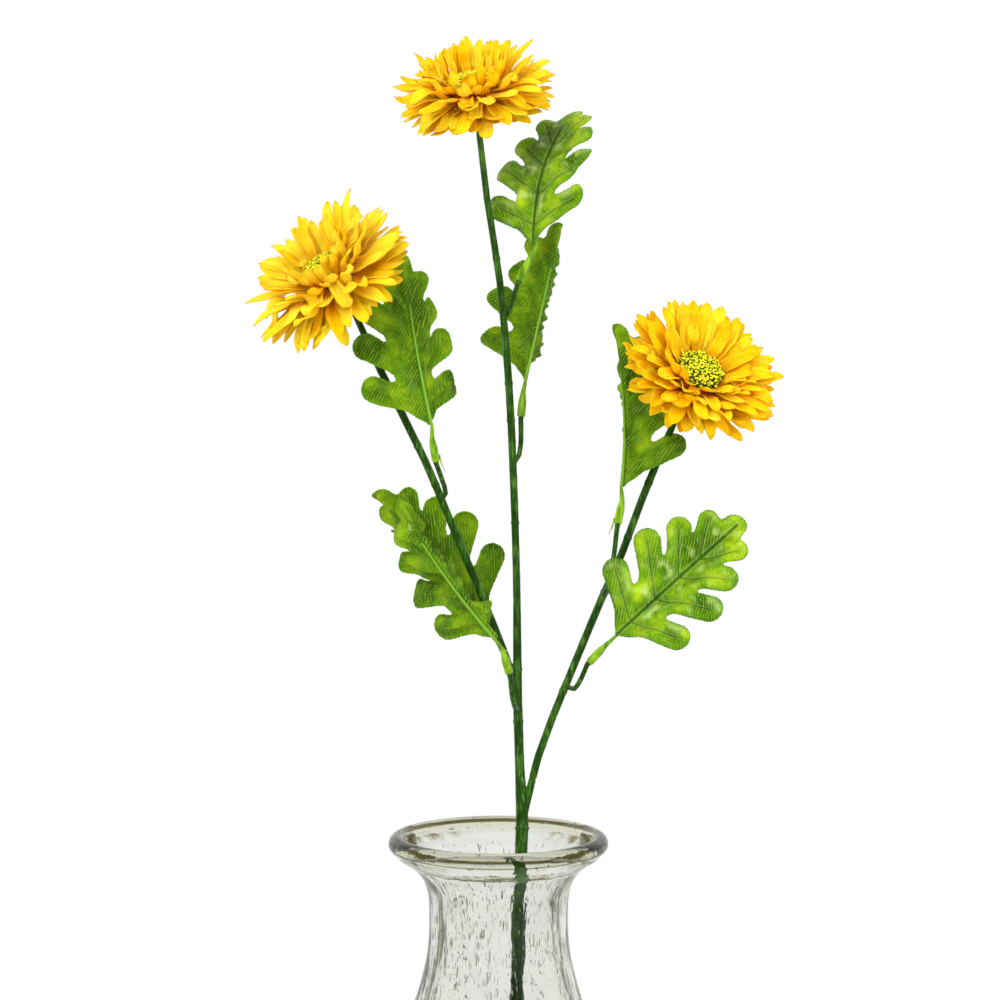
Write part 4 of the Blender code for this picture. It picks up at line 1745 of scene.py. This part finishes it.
    @staticmethod
    def floret() -> Pattern:
        """Models one floret.

        Returns:
            A little tube with a flared and dimpled tip, one unit tall.
        """
        bpy.ops.mesh.primitive_cylinder_add(
            vertices=6, radius=0.30, depth=0.6, end_fill_type="NGON", location=(0, 0, 0.3)
        )
        piece = bpy.context.active_object
        bpy.ops.object.transform_apply(location=True)
        top = [face.center.z > 0.59 for face in piece.data.polygons]
        with editing(piece):
            pick_faces(piece, top)
            for rise, widen, end in ((0.3, 1.55, 0.9), (0.1, 0.75, 1.0)):
                bpy.ops.mesh.extrude_region_move(TRANSFORM_OT_translate={"value": (0, 0, rise)})
                bpy.ops.transform.resize(value=(widen, widen, 1), center_override=(0, 0, end))
            bpy.ops.mesh.inset(thickness=0.16, depth=-0.25)
            bpy.ops.mesh.select_mode(type="VERT")
        return Pattern.taken_from(piece)

    def dome(self, base: float, crown: float) -> tuple[np.ndarray, Faces]:
        """The round cushion that the florets stand on.

        Args:
            base: Its foot's height in mm.
            crown: How high it rises.

        Returns:
            Its points on the head in mm, and its faces.
        """
        sides, rings = self.dome_sides, self.dome_rings
        points = [(0.0, 0.0, base + crown)]
        for ring in range(1, rings + 1):
            lean = math.pi / 2 * ring / rings
            radius = (self.disc_radius - self.dome_inside) * math.sin(lean)
            height = base + crown * math.cos(lean)
            for i in range(sides):
                angle = 2 * math.pi * i / sides
                points.append((radius * math.cos(angle), radius * math.sin(angle), height))
        points.append((0.0, 0.0, base))
        faces = [(0, 1 + i, 1 + (i + 1) % sides) for i in range(sides)]
        for ring in range(rings - 1):
            faces += belt(1 + ring * sides, sides)
        last, foot = 1 + (rings - 1) * sides, len(points) - 1
        faces += [(last + i, foot, last + (i + 1) % sides) for i in range(sides)]
        return np.array(points), faces

    def eye(self, finish: Material) -> None:
        """The domed eye, packed with florets in a spiral.

        Args:
            finish: The florets' plastic.
        """
        rng, pattern = self.rng, self.floret()
        base, crown = self.eye_foot, self.disc_height - self.floret_stand
        batch = Batch()
        points, faces = self.dome(base, crown)
        batch.add(self.put(points), faces, shade=0.08)
        rise = pattern.points[:, 2]
        for i in range(self.florets):
            share = math.sqrt((i + 0.5) / self.florets)
            angle = i * GOLDEN_ANGLE
            lean = math.asin(min(share * 0.97, 1))
            cos, sin = math.cos(angle), math.sin(angle)
            out = Vector((math.sin(lean) * cos, math.sin(lean) * sin, math.cos(lean)))
            radius = (self.disc_radius - 1.2) * share
            foot = Vector((radius * cos, radius * sin, base + crown * math.cos(lean) - 0.3))
            stray = Vector(tuple(rng.normal(0, 0.28, 3)))
            way = (out * 0.75 + Vector((0, 0, 0.6)) + stray).normalized()
            tall = (1.7 + 1.1 * share**3) * rng.uniform(0.75, 1.3)
            wide = rng.uniform(1.15, 1.75)
            turn = np.array(way.to_track_quat("Z", "Y").to_matrix())
            shape = pattern.points * np.array([wide, wide, tall])
            shade = np.clip(rise, 0, 1) * rng.uniform(0.35, 1.05)
            shade = np.where(rise > 0.7, shade, shade * 0.5)
            batch.add(self.put(shape @ turn.T + np.array(foot)), pattern.faces, shade=shade)
        eye = batch.gather(f"{self.side.value}_eye")
        settle(eye, f"disc_{self.side.value}", finish)

    def calyx(self, finish: Material) -> None:
        """The cup, its spike and two rows of bracts.

        Args:
            finish: The cup's plastic.
        """
        name, top = f"{self.side.value}_calyx", self.eye_foot + self.spike_above
        profile = [(0.4, 7.0), (1.95, 7.0), (1.95, 0.0), (3.0, 0.0), (3.15, 1.0), (2.9, 1.6)]
        profile += [(3.2, 3.2), (3.6, 4.8), (4.6, 6.4), (5.9, 8.0), (7.3, 9.6), (8.3, 11.0)]
        profile += [(8.4, 11.4), (7.8, 11.4), (1.6, 11.4), (1.6, top - 0.6), (1.0, top), (0.3, top)]
        cup = turned(name, profile, 40)
        cup.data.transform(Matrix.Diagonal((1 / MM, 1 / MM, 1 / MM, 1)))
        pattern = Pattern.taken_from(cup)
        batch = Batch()
        batch.add(self.put(pattern.points), pattern.faces)
        scale = grid(4, 8)
        treat(scale, "SOLIDIFY", thickness=0.12, offset=0.0)
        bract = Pattern.taken_from(scale)
        across, along, off = bract.points.T
        wide = self.bract_width * (1 - np.clip(along, 0, 1) ** 2.2 * 0.9)
        lean = math.radians(38) + along * math.radians(30)
        slope = math.radians(self.bract_slope)
        for row, reach in enumerate(self.bract_rows):
            for i in range(self.bracts):
                angle = 2 * math.pi * (i + 0.5 * row) / self.bracts + self.rng.normal(0, 0.05)
                long = self.bract_long * reach * self.rng.uniform(0.85, 1.1)
                out = 4.4 + 0.5 * (1 - row) + long * along * math.sin(slope)
                height = 5.4 + long * along * math.cos(slope) * 0.88 - off * np.sin(lean) * 4
                height = np.minimum(height, 11.1)
                placed = stand_round(angle, out + off * np.cos(lean) * 4, across * wide, height)
                batch.add(self.put(placed), bract.faces)
        piece = batch.gather(name)
        with editing(piece):
            bpy.ops.mesh.normals_make_consistent(inside=False)
        settle(piece, f"calyx_{self.side.value}", finish)

    def make(self, petal: Sequence[Material], floret: Material, calyx: Material) -> None:
        """Builds the whole flower.

        Args:
            petal: The petals' upper face and back.
            floret: The florets' plastic.
            calyx: The cup's plastic.
        """
        self.calyx(calyx)
        self.petals(petal)
        self.eye(floret)


# ---------------------------------------------------------------- the studio

WHITE = (1.0, 1.0, 1.0)


@dataclass
class Studio:
    """A plain pale floor, a soft white surround, and the camera."""

    camera_at: Point = (0.75, -1250.0, 465.7)
    tilt: float = 3.1
    lens: float = 90.1
    film: float = 36.0
    surround: float = 1.14
    key: float = 46.0
    fill: float = 20.0
    lit_height: float = 0.42
    floor_radius: float = 0.30
    flags: Stops = (
        (0.0, (0.90, 0.91, 0.89)),
        (0.17, (0.90, 0.91, 0.89)),
        (0.21, (0.085, 0.078, 0.026)),
        (0.33, (0.085, 0.078, 0.026)),
        (0.40, (0.86, 0.88, 0.84)),
        (0.70, (0.92, 0.93, 0.91)),
        (0.93, (0.42, 0.41, 0.32)),
        (0.975, (0.90, 0.91, 0.89)),
    )
    low_flag: Stops = (
        (0.0, (0.17, 0.14, 0.05)),
        (0.29, (0.17, 0.14, 0.05)),
        (0.34, WHITE),
        (0.57, WHITE),
        (0.62, (0.24, 0.20, 0.08)),
        (0.80, (0.28, 0.24, 0.11)),
        (0.88, (0.9, 0.9, 0.86)),
    )
    soft_boxes: Stops = (
        (0.0, (0.08, 0.07, 0.04)),
        (0.40, (0.05, 0.045, 0.025)),
        (0.50, (0.02, 0.02, 0.01)),
        (0.77, (0.03, 0.03, 0.02)),
        (0.81, WHITE),
        (0.85, WHITE),
        (0.89, (0.10, 0.10, 0.10)),
    )
    in_front: Stops = ((0.36, (0.50, 0.56, 0.46)), (0.48, WHITE))
    behind: Stops = ((0.60, (0.0, 0.0, 0.0)), (0.80, (0.80, 0.81, 0.79)))
    paint: Stops = ((0.3, (0.44, 0.44, 0.43)), (0.7, (0.47, 0.47, 0.46)))

    def camera(self) -> None:
        """The camera, level with the flowers and looking a little down."""
        data = bpy.data.cameras.new("camera")
        data.lens, data.sensor_width = self.lens, self.film
        data.clip_start, data.clip_end = 0.01, 50.0
        camera = bring("camera", data)
        camera.location = Vector(self.camera_at) * MM
        camera.rotation_euler = (math.radians(90 - self.tilt), 0, 0)
        bpy.context.scene.camera = camera

    def lamp(self, name: str, at: Point, size: float, watts: float, colour: Colour) -> None:
        """One soft square light, turned to the flowers.

        Args:
            name: The light's name.
            at: Where it stands, in metres.
            size: Its side in metres.
            watts: Its power.
            colour: Its colour.
        """
        data = bpy.data.lights.new(name, "AREA")
        data.shape, data.size, data.energy, data.color = "SQUARE", size, watts, colour
        lamp = bring(name, data)
        way = Vector((0, 0, self.lit_height)) - Vector(at)
        lamp.location = at
        lamp.rotation_euler = way.to_track_quat("-Z", "Y").to_euler()
        lamp.visible_glossy = lamp.visible_transmission = False

    def world(self) -> None:
        """White all round, with flags and soft boxes that only glass and gloss show."""
        world = bpy.data.worlds.new("studio")
        bpy.context.scene.world = world
        world.use_nodes = True
        sky = Nodes(world.node_tree)
        sky.tree.nodes.clear()
        way = sky.node("TexCoord", "Generated", {})
        aside = sky.node("Math", 0, {0: sky.part_of(way, "X")}, operation="ABSOLUTE")
        rise, depth = (sky.range(sky.part_of(way, axis), -1.0, 1.0) for axis in "ZY")
        seen = sky.ramp(aside, self.flags)
        for value, stops in ((rise, self.low_flag), (depth, self.in_front)):
            seen = sky.blend(1.0, seen, sky.ramp(value, stops), "MULTIPLY")
        boxes, behind = sky.ramp(rise, self.soft_boxes), sky.ramp(depth, self.behind)
        boxes = sky.blend(1.0, boxes, behind, "LIGHTEN")
        shown = sky.node("Background", 0, {"Color": WHITE, "Strength": self.surround})
        for ray, source in (("Glossy", boxes), ("Transmission", seen), ("Camera", WHITE)):
            share = sky.node("LightPath", f"Is {ray} Ray", {})
            other = sky.node("Background", 0, {"Color": source, "Strength": 1.0})
            shown = sky.node("MixShader", 0, {0: share, 1: shown, 2: other})
        output = sky.tree.nodes.new("ShaderNodeOutputWorld")
        sky.feed(output.inputs["Surface"], shown)

    def floor(self) -> None:
        """The pale floor that the vase stands on."""
        bpy.ops.mesh.primitive_circle_add(
            vertices=96, radius=self.floor_radius, fill_type="NGON", location=(0, 0, 0)
        )
        floor = bpy.context.active_object
        floor.name = "floor"
        shader = Shader("floor_paint", Roughness=0.9, Specular_IOR_Level=0.1)
        paint = shader.dress(Base_Color=shader.ramp(shader.lines(1, 3, 2), self.paint))
        floor.data.materials.append(paint)
        floor.visible_glossy = False
        floor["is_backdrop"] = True

    def make(self) -> None:
        """Sets the studio up."""
        view = bpy.context.scene.view_settings
        view.view_transform, view.look = "Standard", "None"
        self.camera()
        self.world()
        self.lamp("key", (-0.8, -1.7, 1.2), 1.5, self.key, (1.0, 0.985, 0.96))
        self.lamp("fill", (1.4, -1.0, 0.9), 1.2, self.fill, (0.97, 0.98, 1.0))
        self.floor()


def write_sizes(before: object) -> None:
    """Writes the frame's box and the finished model's box.

    Args:
        before: The frame's box, from straight after it was loaded.
    """
    boxes = [[[float(x) for x in corner] for corner in box] for box in (before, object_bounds())]
    for name, (low, high) in zip(("frame", "model"), boxes):
        LOG.info("%s box %s mm", name, [round((b - a) * 1000, 1) for a, b in zip(low, high)])


def main() -> None:
    """Builds the studio and every piece."""
    logging.basicConfig(level=logging.INFO, format="%(message)s")
    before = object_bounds()
    bpy.ops.object.select_all(action="DESELECT")
    Studio().make()
    vase = GlassVase()
    vase.make(SeededGlass().make())
    Stems().make(MouldedStem().make())
    rest = Vector((11.05, 26.03, 199.0))
    Leaves(rest).make(LEAF_UPPER.make(), LEAF_BACK.make(), MouldedRib().make())
    petal = [PETAL_UPPER.make(), PETAL_BACK.make()]
    floret, calyx = FloretTip().make(), CalyxPlastic().make()
    for side in Side:
        GerberaHead(side).make(petal, floret, calyx)
    write_sizes(before)


if __name__ == "__main__":
    main()
